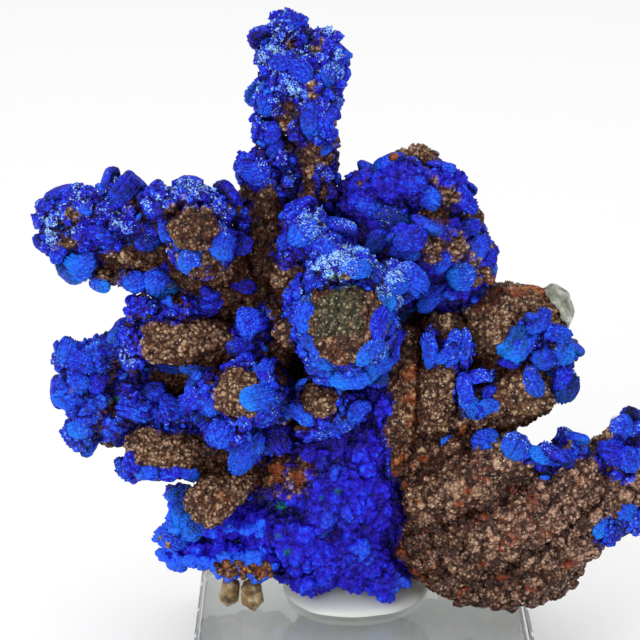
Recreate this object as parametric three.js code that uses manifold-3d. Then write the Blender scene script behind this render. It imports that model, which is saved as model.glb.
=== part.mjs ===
// Azurite on stalactitic goethite, set with clear silicone on a bevelled acrylic block.
// Millimetres, +Z up, +X to the right and +Y away from the viewer. The origin is the middle of the block's
// underside.
import * as THREE from "three";
import { mergeVertices } from "three/addons/utils/BufferGeometryUtils.js";
import Module from "manifold-3d";

const wasm = await Module();
wasm.setup();

// Driving dimensions
const blockSide = 85;
const blockHeight = 19;
const blockBevel = 1.5;
const gap = 0.6; // left between pieces that touch
const viewTilt = THREE.MathUtils.degToRad(17); // the display view looks down on the specimen by this much
const lumpiness = 0.1; // share of a radius by which grown surfaces swell and shrink
const fingerSides = 8;
const roughing = 0.5; // how far merging small triangles may move a surface before pieces are seated
const trimming = 0.3; // and after
const rosetteSides = 7;

// Finishes, one for each kind of material in the piece
const finishes = {
  acrylic: { color: 0xe4ece8, roughness: 0.05, metalness: 0, transparent: true, opacity: 0.4 },
  silicone: { color: 0xd8d6cb, roughness: 0.35, metalness: 0 },
  goethite: { color: 0x6a503d, roughness: 0.75, metalness: 0 },
  azurite: { color: 0x1b2fd6, roughness: 0.55, metalness: 0 },
  quartz: { color: 0xa8763f, roughness: 0.3, metalness: 0 },
};

// A place on the specimen. right and up lie square to the display view, and back runs away from the viewer
// along the block's top, with 0, 0, 0 at the centre of that top.
function place([right, up, back]) {
  const height = blockHeight + (up - back * Math.sin(viewTilt)) / Math.cos(viewTilt);
  return new THREE.Vector3(right, back, height);
}

// Smooth, repeatable unevenness between -1 and 1 for a direction on a grown surface.
function swell(direction, seed) {
  const { x, y, z } = direction;
  const waves = [4.1 * x + 1.7 * seed, 3.7 * y + 2.3 * seed + 2.6 * z, 5.3 * z + 0.9 * seed];
  return waves.reduce((sum, wave) => sum + Math.sin(wave), 0) / waves.length;
}

// A closed manifold-3d solid from a three.js geometry. Only its positions count, and empty triangles go.
function solidOf(geometry) {
  const bare = new THREE.BufferGeometry().setAttribute("position", geometry.getAttribute("position").clone());
  if (geometry.index) bare.setIndex(geometry.index.clone());
  const merged = mergeVertices(bare, 1e-4);
  const kept = [];
  const index = merged.index.array;
  for (let i = 0; i < index.length; i += 3) {
    const [a, b, c] = index.slice(i, i + 3);
    if (a !== b && b !== c && c !== a) kept.push(a, b, c);
  }
  const vertProperties = new Float32Array(merged.attributes.position.array);
  const solidOf = (triVerts) => new wasm.Manifold(new wasm.Mesh({ numProp: 3, vertProperties, triVerts }));
  const solid = solidOf(new Uint32Array(kept));
  if (solid.volume() > 0) return solid;
  for (let i = 0; i < kept.length; i += 3) [kept[i + 1], kept[i + 2]] = [kept[i + 2], kept[i + 1]];
  return solidOf(new Uint32Array(kept));
}

function geometryOf(solid) {
  const { numProp, numVert, vertProperties, triVerts } = solid.getMesh();
  const positions = new Float32Array(numVert * 3);
  for (let i = 0; i < numVert; i++) {
    positions.set(vertProperties.subarray(i * numProp, i * numProp + 3), i * 3);
  }
  const geometry = new THREE.BufferGeometry();
  geometry.setAttribute("position", new THREE.BufferAttribute(positions, 3));
  geometry.setIndex(new THREE.BufferAttribute(new Uint32Array(triVerts), 1));
  geometry.computeVertexNormals();
  return geometry;
}

// A stalactite finger: a lathe-turned profile with rounded ends, carried along a curve through its places.
// radii gives its half thickness at each place. blunt is how far the far end bulges, as a share of that.
function finger({ path, radii, blunt = 0.5, seed = 1 }, grow = 0) {
  const curve = new THREE.CatmullRomCurve3(path.map(place));
  const length = curve.getLength();
  const stations = Math.max(3, Math.round(length / 12) + 1);
  const last = radii.length - 1;
  const radiusAt = (t) => {
    const i = Math.min(last - 1, Math.floor(t * last));
    return THREE.MathUtils.lerp(radii[i], radii[i + 1], t * last - i) + grow;
  };
  const profile = [new THREE.Vector2(0, -radiusAt(0) * 0.5 - grow)];
  profile.push(new THREE.Vector2(radiusAt(0) * 0.7, -radiusAt(0) * 0.3 - grow));
  for (let i = 0; i < stations; i++) {
    const t = i / (stations - 1);
    profile.push(new THREE.Vector2(radiusAt(t), t * length));
  }
  profile.push(new THREE.Vector2(radiusAt(1) * 0.72, length + radiusAt(1) * blunt * 0.75 + grow));
  profile.push(new THREE.Vector2(0, length + radiusAt(1) * blunt + grow));
  const geometry = new THREE.LatheGeometry(profile, fingerSides);
  const position = geometry.getAttribute("position");
  const sideways = new THREE.Vector3();
  const upright = new THREE.Vector3();
  for (let i = 0; i < position.count; i++) {
    const along = position.getY(i);
    const t = THREE.MathUtils.clamp(along / length, 0, 1);
    const tangent = curve.getTangentAt(t);
    const pole = Math.abs(tangent.z) > 0.8 ? new THREE.Vector3(0, 1, 0) : new THREE.Vector3(0, 0, 1);
    sideways.crossVectors(tangent, pole);
    sideways.normalize();
    upright.crossVectors(sideways, tangent);
    const turn = Math.atan2(position.getZ(i), position.getX(i));
    const around = new THREE.Vector3(Math.cos(turn), Math.sin(turn), along / 12);
    const reach = Math.hypot(position.getX(i), position.getZ(i)) * (1 + lumpiness * swell(around, seed));
    const point = curve.getPointAt(t).addScaledVector(tangent, along - t * length);
    point.addScaledVector(sideways, reach * Math.cos(turn)).addScaledVector(upright, reach * Math.sin(turn));
    position.setXYZ(i, point.x, point.y, point.z);
  }
  return solidOf(geometry);
}

// A knobbly lump: its place, and its half sizes across, front to back and up.
function lump([right, up, back, across, deep, tall], grow = 0) {
  const geometry = across < 10 ? new THREE.OctahedronGeometry(1.05, 1) : new THREE.IcosahedronGeometry(1, 1);
  const position = geometry.getAttribute("position");
  const centre = place([right, up, back]);
  const direction = new THREE.Vector3();
  for (let i = 0; i < position.count; i++) {
    direction.fromBufferAttribute(position, i);
    const size = 1 + lumpiness * swell(direction, right + up);
    position.setXYZ(
      i,
      centre.x + direction.x * (across * size + grow),
      centre.y + direction.y * (deep * size + grow),
      centre.z + direction.z * (tall * size + grow),
    );
  }
  return solidOf(geometry);
}

// A rosette: a lens of blades, thick in the middle. facing is the way its flat side looks (right, up, back),
// roll turns its long side, in degrees from level, and long is that side's share of the radius.
function rosette({ at, radius, thick = 0.5, facing = [0, 0, -1], roll = 0, long = 1 }, grow = 0) {
  const half = radius * thick;
  const outline = [[0, -half], [0.62, -0.62 * half], [1, 0], [0.62, 0.62 * half], [0, half]];
  const pointOf = ([share, y]) => new THREE.Vector2(share * (radius + grow), y + Math.sign(y) * grow);
  const profile = outline.map(pointOf);
  const geometry = new THREE.LatheGeometry(profile, rosetteSides);
  const normal = new THREE.Vector3(facing[0], facing[2], facing[1]).normalize();
  const level = new THREE.Vector3().crossVectors(normal, new THREE.Vector3(0, 0, 1));
  if (level.length() < 0.1) level.set(1, 0, 0);
  level.normalize().applyAxisAngle(normal, THREE.MathUtils.degToRad(roll));
  const across = new THREE.Vector3().crossVectors(normal, level);
  const frame = new THREE.Matrix4().makeBasis(level.multiplyScalar(long), normal, across);
  frame.setPosition(place(at));
  geometry.applyMatrix4(frame);
  return solidOf(geometry);
}

// A six-sided crystal that hangs from its place: a prism with a pointed foot.
function crystal({ at, radius, length, lean = [0, 0] }, grow = 0) {
  const wide = radius + grow;
  const profile = [
    new THREE.Vector2(0, -length - grow),
    new THREE.Vector2(wide, -length + radius * 0.9),
    new THREE.Vector2(wide * 0.9, grow),
    new THREE.Vector2(0, 0.4 * radius + grow),
  ];
  const geometry = new THREE.LatheGeometry(profile, 6);
  geometry.rotateX(Math.PI / 2 + THREE.MathUtils.degToRad(lean[1]));
  geometry.rotateY(THREE.MathUtils.degToRad(lean[0]));
  const centre = place(at);
  geometry.translate(centre.x, centre.y, centre.z);
  return solidOf(geometry);
}

// The lens-shaped pad of silicone under the specimen, with an uneven rim.
function pad({ at, radius, height }, grow = 0) {
  const profile = [
    new THREE.Vector2(0, gap),
    new THREE.Vector2(radius * 0.94, gap),
    new THREE.Vector2(radius + grow, gap + 0.8),
    new THREE.Vector2(radius * 0.9, gap + 2.2 + grow),
    new THREE.Vector2(radius * 0.6, height + grow),
    new THREE.Vector2(0, height + grow),
  ];
  const geometry = new THREE.LatheGeometry(profile, 20);
  geometry.rotateX(Math.PI / 2);
  const position = geometry.getAttribute("position");
  for (let i = 0; i < position.count; i++) {
    const turn = Math.atan2(position.getY(i), position.getX(i));
    const reach = 1 + 0.035 * Math.sin(3 * turn + 1) + 0.025 * Math.sin(5 * turn);
    position.setX(i, position.getX(i) * reach);
    position.setY(i, position.getY(i) * reach);
  }
  geometry.translate(at[0], at[1], blockHeight);
  return solidOf(geometry);
}

const specimen = new THREE.Group();
const laid = []; // every piece so far: its box, and its solid grown by the gap

function touches(a, b) {
  return [0, 1, 2].every((i) => a.min[i] < b.max[i] && b.min[i] < a.max[i]);
}

function show(name, finish, solid) {
  const mesh = new THREE.Mesh(geometryOf(solid), new THREE.MeshStandardMaterial(finishes[finish]));
  mesh.name = name;
  specimen.add(mesh);
}

// Adds a piece: its shapes are joined, and it is seated a gap clear of the pieces already there.
function addPiece(name, finish, shapes) {
  const join = (grow) => shapes.map((shape) => shape(grow)).reduce((sum, next) => sum.add(next));
  let solid = join(0).asOriginal().simplify(roughing);
  const box = solid.boundingBox();
  for (const other of laid) {
    if (touches(box, other.box)) solid = solid.subtract(other.grown);
  }
  const bodies = solid.asOriginal().simplify(trimming).decompose().sort((a, b) => b.volume() - a.volume());
  const grown = join(gap);
  laid.push({ grown, box: grown.boundingBox() });
  show(name, finish, bodies[0]);
}

const fingerOf = (settings) => (grow) => finger(settings, grow);
const lumpOf = (settings) => (grow) => lump(settings, grow);
const rosetteOf = (settings) => (grow) => rosette(settings, grow);
const crystalOf = (settings) => (grow) => crystal(settings, grow);

// The azurite coat on a finger: part of its last stretch again, between two shares of it, thick more in
// radius.
function coatOf(name, thick, from, to) {
  const { path, radii, seed } = goethiteFingers[name];
  const [start, end] = path.slice(-2);
  const between = (share) => start.map((value, i) => THREE.MathUtils.lerp(value, end[i], share));
  const radius = radii.at(-1) + thick;
  return fingerOf({ path: [between(from), between(to)], radii: [radius, radius], blunt: 0.1, seed });
}

// The display block
function addBlock() {
  const inner = blockSide / 2 - blockBevel;
  const square = new THREE.Shape([
    new THREE.Vector2(-inner, -inner),
    new THREE.Vector2(inner, -inner),
    new THREE.Vector2(inner, inner),
    new THREE.Vector2(-inner, inner),
  ]);
  const geometry = new THREE.ExtrudeGeometry(square, {
    depth: blockHeight - 2 * blockBevel,
    bevelEnabled: true,
    bevelThickness: blockBevel,
    bevelSize: blockBevel,
    bevelSegments: 1,
  });
  geometry.translate(0, 0, blockBevel);
  show("display_block", "acrylic", solidOf(geometry));
}

// Goethite bodies that the fingers fork from, as lumps.
const goethiteMasses = {
  goethite_trunk: [
    [0, 14, 8, 17, 13, 11],
    [0, 34, 8, 19, 13, 16],
    [-3, 55, 8, 19, 13, 15],
    [0, 74, 8, 17, 12, 13],
  ],
  goethite_lower_right_mass: [[27, 18, 0, 24, 15, 17], [19, 36, -2, 14, 12, 12], [35, 8, -6, 20, 11, 8]],
  goethite_left_mass: [[-34, 63, 8, 18, 11, 16], [-24, 46, 8, 14, 11, 12]],
  goethite_lower_left_mass: [[-31, 16, 2, 18, 12, 9], [-20, 28, 2, 13, 12, 13]],
  goethite_upper_right_ball: [
    [11.5, 94, 8, 15, 13, 14],
    [23, 89, 6, 9.6, 10, 10],
    [13.6, 110, 10, 5.5, 5, 5],
  ],
};

// Goethite fingers. Each path is a list of right, up, back.
const goethiteFingers = {
  goethite_far_right_finger: {
    path: [[42, 14, -6], [58, 26, -7], [70, 40, -7]],
    radii: [11, 10.5, 9],
    seed: 2,
  },
  goethite_upper_ridge: { path: [[15, 27, -12], [28, 32, -15], [38, 37, -13]], radii: [7, 6.5, 6], seed: 3 },
  goethite_middle_ridge: { path: [[24, 15, -14], [42, 24, -15], [56, 33, -12]], radii: [8, 7.5, 7], seed: 4 },
  goethite_inner_column: { path: [[8, 34, -6], [8, 52, -9], [10, 68, -6]], radii: [6, 5.5, 5], seed: 5 },
  goethite_inner_post: { path: [[17, 46, -6], [18, 58, -8], [20, 71, -5]], radii: [6, 6, 5.5], seed: 8 },
  goethite_right_slab: {
    path: [[16, 68.6, 5], [34, 69.2, 2.5], [46, 69, 3.5]],
    radii: [10.6, 11.6, 10.8],
    blunt: 0.35,
    seed: 6,
  },
  goethite_right_finger: {
    path: [[18, 46, 0], [31, 50, -4], [43.5, 55.5, -7]],
    radii: [8, 8, 7.4],
    blunt: 0.4,
    seed: 7,
  },
  goethite_tower: {
    path: [[-12, 84, 8], [-14, 104, 8], [-13, 122, 8], [-16, 140, 8]],
    radii: [8, 7, 6.5, 4.5],
    seed: 9,
  },
  goethite_upper_knob: { path: [[-13, 76, 0], [-18, 84, -11]], radii: [7, 6], blunt: 0.4, seed: 25 },
  goethite_tower_side_finger: {
    path: [[-22, 84, 2], [-25, 98, 1], [-26, 108, 1]],
    radii: [6, 5, 4.5],
    seed: 10,
  },
  goethite_upper_left_arm: {
    path: [[-22, 76, 6], [-44, 84, 4], [-62, 90, 3], [-75, 94, 2]],
    radii: [9, 9.5, 9.5, 8],
    seed: 11,
  },
  goethite_upper_left_finger: { path: [[-34, 84, 2], [-42, 94, -19]], radii: [7, 6], blunt: 0.25, seed: 12 },
  goethite_left_bar: { path: [[-22, 62, -2], [-40, 66, -8], [-53, 67, -10]], radii: [7, 6, 5.5], seed: 13 },
  goethite_left_outer_arm: { path: [[-26, 56, 8], [-52, 58, 5], [-66, 60, 3]], radii: [6, 5.5, 5], seed: 14 },
  goethite_left_outer_branch: {
    path: [[-48, 52, 6], [-60, 46, 4], [-66, 43, 3]],
    radii: [5, 4.5, 4],
    seed: 24,
  },
  goethite_lower_left_slab: {
    path: [[-26, 36, 0], [-44, 38, -7], [-57, 38, -9]],
    radii: [8, 7, 6],
    seed: 15,
  },
  goethite_lower_left_finger: {
    path: [[-30, 34, -6], [-40, 25, -19]],
    radii: [6, 5.5],
    blunt: 0.3,
    seed: 16,
  },
  goethite_centre_finger: { path: [[-2, 68, -2], [-5.5, 71, -27]], radii: [11.5, 10], blunt: 0.2, seed: 17 },
  goethite_centre_left_finger: {
    path: [[-20, 52, -2], [-31, 54, -25]],
    radii: [7, 6.2],
    blunt: 0.25,
    seed: 18,
  },
  goethite_centre_lower_finger: {
    path: [[-10, 52, -4], [-11, 52, -20]],
    radii: [5.5, 4.5],
    blunt: 0.25,
    seed: 19,
  },
  goethite_small_knob: { path: [[-14, 68, -4], [-19, 68, -18]], radii: [4.5, 3.6], blunt: 0.4, seed: 20 },
  goethite_back_left_finger: { path: [[-12, 54, 18], [-22, 66, 38]], radii: [9, 7], blunt: 0.4, seed: 22 },
  goethite_back_right_finger: { path: [[12, 36, 16], [20, 44, 36]], radii: [9, 7.5], blunt: 0.4, seed: 23 },
};

// Azurite, region by region: coats on fingers, lumps of crust, and rosettes.
const azurite = {
  azurite_centre_coat: {
    coats: [["goethite_centre_finger", 2.6, 0.35, 0.9]],
    lumps: [[-6, 85, -20, 8, 5, 4], [6, 80, -20, 4, 5, 6], [-16, 76, -18, 4, 5, 6], [-5, 58, -22, 9, 5, 3.5]],
  },
  azurite_centre_left_coat: {
    coats: [["goethite_centre_left_finger", 2, 0.4, 0.88]],
    lumps: [[-39, 54, -18, 3, 4, 5], [-33, 44, -19, 5, 4, 3.5], [-37.5, 45.5, -16, 3.5, 4.5, 3.5]],
  },
  azurite_cup: {
    coats: [["goethite_centre_lower_finger", 2.4, 0.3, 0.9]],
    lumps: [[-19, 52, -14, 3.5, 4, 4.5], [-3, 50, -14, 4, 4, 4.5], [-11, 45, -15, 6, 4, 3]],
  },
  azurite_upper_left_coat: {
    coats: [["goethite_upper_left_finger", 2.6, 0.5, 0.86]],
    lumps: [[-49, 100, -12, 4.5, 5, 5], [-42.5, 101.8, -12, 5, 5, 4.2], [-36, 98, -12, 4, 5, 5]],
  },
  azurite_left_arm_crust: {
    lumps: [
      [-76.8, 97.5, -1, 5, 6, 5],
      [-70, 99, -2, 6, 7, 5],
      [-62, 98.5, -2, 6, 7, 5],
      [-50.5, 96, -3, 5, 7, 4],
      [-57, 96, -5, 6, 5, 5],
      [-67, 92, -5, 7, 5, 5],
      [-75, 91, -3, 5, 5, 5],
    ],
    rosettes: [{ at: [-59, 103, -4], radius: 4.5, thick: 0.45, facing: [0.2, 0.3, -1], roll: 60 }],
  },
  azurite_upper_centre: {
    lumps: [[-15, 95, -9, 6, 6, 5.5], [-10, 89, -11, 7, 7, 6], [-17, 88, -8, 6, 6, 5]],
  },
  azurite_left_arm_lenses: {
    lumps: [
      [-70, 85, -6, 6, 3.5, 3.5],
      [-64, 82, -6, 4, 3.5, 3],
      [-58, 82, -6, 4.5, 3.5, 3.5],
      [-52, 81, -6, 6, 3.5, 4],
    ],
  },
  azurite_left_recess_lenses: {
    lumps: [
      [-43, 86, -11, 4.5, 3, 3],
      [-37, 88, -11, 4.5, 3, 4],
      [-31, 90, -9, 4, 3, 3],
      [-30.5, 96, -6, 4, 4.5, 5],
    ],
  },
  azurite_left_bar_crust: {
    lumps: [
      [-57.5, 67, -9, 4.5, 5, 5],
      [-54.2, 74.2, -8, 5, 5, 4.4],
      [-46, 74, -7, 5, 5, 4],
      [-57, 63, -9, 4, 4.5, 4],
    ],
    rosettes: [
      { at: [-50, 60, -12], radius: 4.5, facing: [0, -0.4, -1], roll: 10, long: 1.2 },
      { at: [-42, 60, -11], radius: 4.5, facing: [0, -0.4, -1], roll: -10, long: 1.2 },
    ],
  },
  azurite_left_outer_crust: {
    lumps: [
      [-72.8, 61.5, 1, 5, 5, 4.5],
      [-66, 62.5, 0, 5.5, 6, 4.5],
      [-58, 63, 0, 5.5, 6, 5],
      [-72.6, 53.5, 0, 5, 5, 5.5],
      [-66.2, 52.5, 0, 3.4, 5, 5],
      [-59, 54, -1, 3.6, 5, 4.5],
      [-69.5, 48.5, -1, 5.5, 5, 5],
      [-72, 43, 0, 4.5, 4.5, 4.5],
      [-62, 45, -2, 5, 5, 4.5],
      [-55, 49, -2, 5, 5, 5],
      [-49, 47, -3, 5, 6, 4.5],
      [-43, 48, -3, 5, 6, 4.5],
    ],
  },
  azurite_lower_left_edge: {
    lumps: [[-58, 35, -9, 4, 4.5, 4], [-52, 33.8, -9, 5, 4.5, 3.2], [-44, 33, -8, 5, 4.5, 3.2]],
  },
  azurite_far_right_edge: { lumps: [[61.5, 19, -15, 3.5, 4, 4.5], [67, 21.5, -15, 4, 4, 3.5]] },
  azurite_side_cap: { lumps: [[-26.3, 108, 1, 5.2, 6, 5.2], [-27.8, 103.5, 0, 3.5, 4, 4]] },
  azurite_tower_crown: {
    lumps: [
      [-18.8, 142.9, 7, 5.4, 4.5, 5],
      [-10.6, 136, 6, 6.2, 6, 6.8],
      [-20.8, 135, 6, 6, 6, 7],
      [-16, 130, 4, 8, 7, 8],
      [-11, 125.5, 5, 5.6, 6, 6],
      [-8.8, 131, 5, 4.6, 5.5, 5.5],
      [-22.8, 126.5, 5, 5.6, 6, 6.5],
      [-17, 120.5, 3.5, 6, 5, 5],
    ],
    rosettes: [
      { at: [-12, 124, -3], radius: 4.5, facing: [0.2, 0, -1], roll: 70 },
      { at: [-11, 118, -2], radius: 4, facing: [0.2, 0, -1], roll: 70 },
    ],
  },
  azurite_tower_drip: {
    lumps: [
      [-23.4, 118.5, 4, 4, 4, 5.4],
      [-21.8, 114, 4.5, 3.6, 3.6, 4.4],
      [-21.5, 110, 3, 3.2, 3.5, 4],
      [-20, 105, 2, 3, 3.2, 3.5],
    ],
  },
  azurite_tower_beads: {
    lumps: [[-9.5, 112, 5, 2.6, 3.5, 3.5], [-9.5, 107, 4, 2.6, 3.5, 3.5], [-9, 102, 3, 2.6, 3.5, 3.5]],
  },
  azurite_ball_crust: {
    lumps: [
      [0, 100, 5, 8, 9, 9],
      [-4, 92, 3, 7, 8, 7],
      [9, 104, 1.5, 8, 8, 7],
      [18.2, 103, 3, 7.6, 8, 7],
      [5, 90, -1, 10, 8, 9],
      [16, 90, -3, 9, 8, 9],
      [24.6, 85.5, 0, 7.6, 8, 7.4],
      [20, 79, -1, 7, 7, 5],
      [8, 79, -1, 7, 7, 5],
    ],
    rosettes: [
      { at: [11, 91, -12], radius: 5.5, facing: [0, -0.2, -1], roll: 20 },
      { at: [19, 98, -9], radius: 5, facing: [0.2, 0.2, -1], roll: 60 },
      { at: [25, 84, -11], radius: 5, facing: [0.3, -0.2, -1], roll: -20 },
    ],
  },
  azurite_ball_right_rim: {
    lumps: [[30.2, 87.5, 5, 3.6, 6, 5], [24, 97.5, 6, 5, 6, 5], [27, 92.5, 5, 4, 6, 5]],
  },
  azurite_slab_lenses: {
    rosettes: [
      { at: [41, 70, -8.5], radius: 4.5, facing: [0, 0, -1], roll: 60 },
      { at: [46, 68, -8.5], radius: 4.5, facing: [0.2, 0, -1], roll: 70 },
      { at: [38, 65, -8.5], radius: 4.5, facing: [0, -0.3, -1], roll: 20 },
      { at: [43, 63, -8.5], radius: 5, facing: [0, -0.3, -1], roll: 10 },
      { at: [49, 62, -7.5], radius: 5, facing: [0.3, -0.2, -1], roll: 70, long: 1.2 },
      { at: [49.3, 56.5, -7.5], radius: 4.6, facing: [0.3, 0, -1], roll: 80, long: 1.2 },
    ],
  },
  azurite_right_hook: {
    lumps: [[25, 54, -10, 2.5, 3.5, 5.5], [29, 58, -10, 4.5, 3.5, 2.5], [28, 49, -11, 4, 3.5, 2.5]],
  },
  azurite_inner_bridge: {
    lumps: [[16, 65, -13, 2.2, 3, 6.5], [21, 64, -13, 4, 3, 3], [25, 64, -11, 2.4, 3.5, 6]],
  },
  azurite_right_chain: {
    rosettes: [
      { at: [32, 41, -14], radius: 4.5, facing: [0, 0, -1], roll: 20 },
      { at: [38, 37.5, -17], radius: 5, facing: [0, 0, -1], roll: 60 },
      { at: [45, 36, -17], radius: 4.5, facing: [0, -0.1, -1], roll: 0, long: 1.2 },
      { at: [52, 39, -15], radius: 5, facing: [0.2, 0, -1], roll: 50 },
    ],
  },
  azurite_far_right_tip: {
    coats: [["goethite_far_right_finger", 1.2, 0.1, 0.7]],
    rosettes: [
      { at: [65.5, 44.8, -15], radius: 4.6, facing: [0.2, 0, -1], roll: 40 },
      { at: [63, 38, -16], radius: 5.5, facing: [0, 0, -1], roll: 20 },
    ],
  },
  azurite_ledge: {
    lumps: [
      [-47, 11.8, -2, 5.5, 7, 3.8],
      [-48.3, 16, -6, 4.8, 5, 3.8],
      [-47, 25, -6, 3.4, 4.5, 3.6],
      [-45.5, 20, -6, 4.5, 5, 6],
      [-42, 13, -5, 7, 8, 4],
      [-34, 12, -7, 8, 8, 4.5],
      [-26, 12, -8, 8, 8, 5],
      [-36, 20, -6, 7, 7, 4.5],
      [-27, 20, -7, 7, 7, 6],
    ],
  },
  azurite_apron: {
    lumps: [
      [4, 53, -7, 6, 7, 9],
      [-11, 41, -6, 9, 8, 7],
      [1, 40, -6, 8, 8, 9],
      [3, 26, -7, 8, 8, 12],
      [-16, 32, -7, 10, 8, 9],
      [-27, 30, -5, 7, 7, 6],
      [-7, 27, -9, 10, 8, 13],
      [-17, 17, -8, 10, 8, 10],
      [-5, 13, -9, 12, 8, 10],
      [6, 7, -6, 6, 8, 5],
      [-14, 7, -7, 8, 7, 5],
    ],
  },
  azurite_petals: {
    rosettes: [
      { at: [-35, 43, -13], radius: 4.5, facing: [0, 0.1, -1], roll: 60 },
      { at: [-29, 41, -14], radius: 6, facing: [0, 0.1, -1], roll: 80, long: 1.2 },
      { at: [-22, 42, -13], radius: 4.5, facing: [0, 0.1, -1], roll: 100 },
    ],
  },
  azurite_knob_side: { lumps: [[-27, 69, -8, 5, 5, 4.5], [-22, 73, -8, 4, 4.5, 3.5]] },
};

addBlock();
for (const [name, lumps] of Object.entries(goethiteMasses)) addPiece(name, "goethite", lumps.map(lumpOf));
for (const [name, settings] of Object.entries(goethiteFingers)) {
  addPiece(name, "goethite", [fingerOf(settings)]);
}
for (const [name, { coats = [], lumps = [], rosettes = [] }] of Object.entries(azurite)) {
  const shapes = [...coats.map((coat) => coatOf(...coat)), ...lumps.map(lumpOf), ...rosettes.map(rosetteOf)];
  addPiece(name, "azurite", shapes);
}
const leftCrystal = { at: [-33.6, 5, -9], radius: 3, length: 7.5, lean: [8, 0] };
const rightCrystal = { at: [-28.8, 4.6, -10], radius: 3.4, length: 8, lean: [-8, 0] };
addPiece("quartz_crystal_left", "quartz", [crystalOf(leftCrystal)]);
addPiece("quartz_crystal_right", "quartz", [crystalOf(rightCrystal)]);
addPiece("quartz_slab_rim", "quartz", [lumpOf([47.3, 73.5, 3, 5.2, 8, 7.5])]);
addPiece("silicone_pad", "silicone", [(grow) => pad({ at: [-2.5, 4], radius: 19.5, height: 6 }, grow)]);

export default specimen;
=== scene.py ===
import math

import bpy
import numpy as np
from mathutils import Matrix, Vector
from mathutils.bvhtree import BVHTree


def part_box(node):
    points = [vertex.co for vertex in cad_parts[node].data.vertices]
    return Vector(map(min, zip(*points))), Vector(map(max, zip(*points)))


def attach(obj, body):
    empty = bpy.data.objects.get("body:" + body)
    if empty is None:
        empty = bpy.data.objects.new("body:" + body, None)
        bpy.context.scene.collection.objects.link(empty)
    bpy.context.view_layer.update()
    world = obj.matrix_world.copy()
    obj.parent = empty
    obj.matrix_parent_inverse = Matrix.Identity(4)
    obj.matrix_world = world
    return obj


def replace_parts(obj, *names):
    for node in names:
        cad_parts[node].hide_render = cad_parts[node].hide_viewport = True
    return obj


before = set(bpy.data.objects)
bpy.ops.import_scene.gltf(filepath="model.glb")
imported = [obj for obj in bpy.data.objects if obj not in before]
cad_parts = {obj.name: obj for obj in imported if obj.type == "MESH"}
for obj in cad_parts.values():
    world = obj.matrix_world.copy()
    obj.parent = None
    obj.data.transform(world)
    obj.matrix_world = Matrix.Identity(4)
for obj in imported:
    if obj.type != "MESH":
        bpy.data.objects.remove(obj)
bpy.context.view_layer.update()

# Azurite on stalactitic goethite, set on an acrylic block. Shapes are worked out in millimetres and go into
# the meshes in metres. +Z is up, +X to the right and +Y away from the display side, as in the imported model.
mm = 0.001
rng = np.random.default_rng(7)

# The display view: places on the specimen are given as right and up across this view, in millimetres.
view = {"tilt": math.radians(17), "distance": 600, "aimRight": -11, "aimUp": 71.5, "width": 160}


def place(right, up, back=0.0):
    # Right, up and back run across, up and into the display view, from the centre of the block's top.
    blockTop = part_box("display_block")[1].z / mm
    height = (np.asarray(up) - np.asarray(back) * math.sin(view["tilt"])) / math.cos(view["tilt"])
    return np.stack(np.broadcast_arrays(right, back, blockTop + height), axis=-1).astype(float)


aim = place(view["aimRight"], view["aimUp"])
lookAlong = np.array([0, math.cos(view["tilt"]), -math.sin(view["tilt"])])
eye = aim - lookAlong * view["distance"]


def linear(hexColour):
    # sRGB hex to linear red, green, blue and 1.
    channels = [int(hexColour[i : i + 2], 16) / 255 for i in (1, 3, 5)]
    return [c / 12.92 if c <= 0.04045 else ((c + 0.055) / 1.055) ** 2.4 for c in channels] + [1]


def unit(vectors):
    # Each vector at length 1.
    return vectors / np.maximum(np.linalg.norm(vectors, axis=-1, keepdims=True), 1e-9)


def smoothStep(low, high, values):
    # 0 at low, 1 at high, and eased between. low may be the greater.
    t = np.clip((values - low) / (high - low), 0, 1)
    return t * t * (3 - 2 * t)


# Noise


def scatterBits(cells, seed):
    # Three repeatable numbers from 0 to 1 for each whole-numbered cell.
    key = cells[..., 0] * 73856093 ^ cells[..., 1] * 19349663 ^ cells[..., 2] * 83492791
    key = (key + seed * 2654435761) & 0xFFFFFFFF
    for multiplier in (0x45D9F3B, 0x2C1B3C6D):
        key = ((key ^ (key >> 16)) * multiplier) & 0xFFFFFFFF
    key ^= key >> 15
    return np.stack([(key >> shift) & 1023 for shift in (0, 10, 20)], axis=-1) / 1023


def cellNoise(points, size, seed):
    # Worley noise: every cube of side size holds one random point. Returns, in cells, the distance to the
    # nearest one and to the next, with a random number that belongs to the nearest.
    grid = points / size
    base = np.floor(grid).astype(np.int64)
    first = np.full(len(points), 9.0)
    second = np.full(len(points), 9.0)
    owner = np.zeros(len(points))
    for offset in np.ndindex(3, 3, 3):
        cell = base + np.array(offset) - 1
        bits = scatterBits(cell, seed)
        distance = np.linalg.norm(cell + bits - grid, axis=1)
        closer = distance < first
        second = np.where(closer, first, np.minimum(second, distance))
        owner = np.where(closer, bits[:, 0] * 0.5 + bits[:, 1] * 0.5, owner)
        first = np.minimum(first, distance)
    return first, second, owner


def softNoise(points, size, seed, octaves=3):
    # Value noise: random numbers at the corners of cubes of side size, eased between them, with finer,
    # weaker octaves added. Runs from about -1 to 1.
    total = np.zeros(len(points))
    weight = 1.0
    for octave in range(octaves):
        grid = points / size * 2**octave
        base = np.floor(grid).astype(np.int64)
        ease = grid - base
        ease = ease * ease * (3 - 2 * ease)
        for corner in np.ndindex(2, 2, 2):
            share = np.prod(np.where(np.array(corner) == 1, ease, 1 - ease), axis=1)
            total += weight * share * (scatterBits(base + np.array(corner), seed + octave)[:, 0] * 2 - 1)
        weight *= 0.5
    return total / 1.5


def domes(points, size, seed):
    # Botryoidal relief: a half ball in each Worley cell, 1 at its top and 0 in the seams.
    first, second, owner = cellNoise(points, size, seed)
    return np.sqrt(np.clip(1 - (first / 0.95) ** 2, 0, 1)) * smoothStep(0, 0.25, second - first), owner


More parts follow.
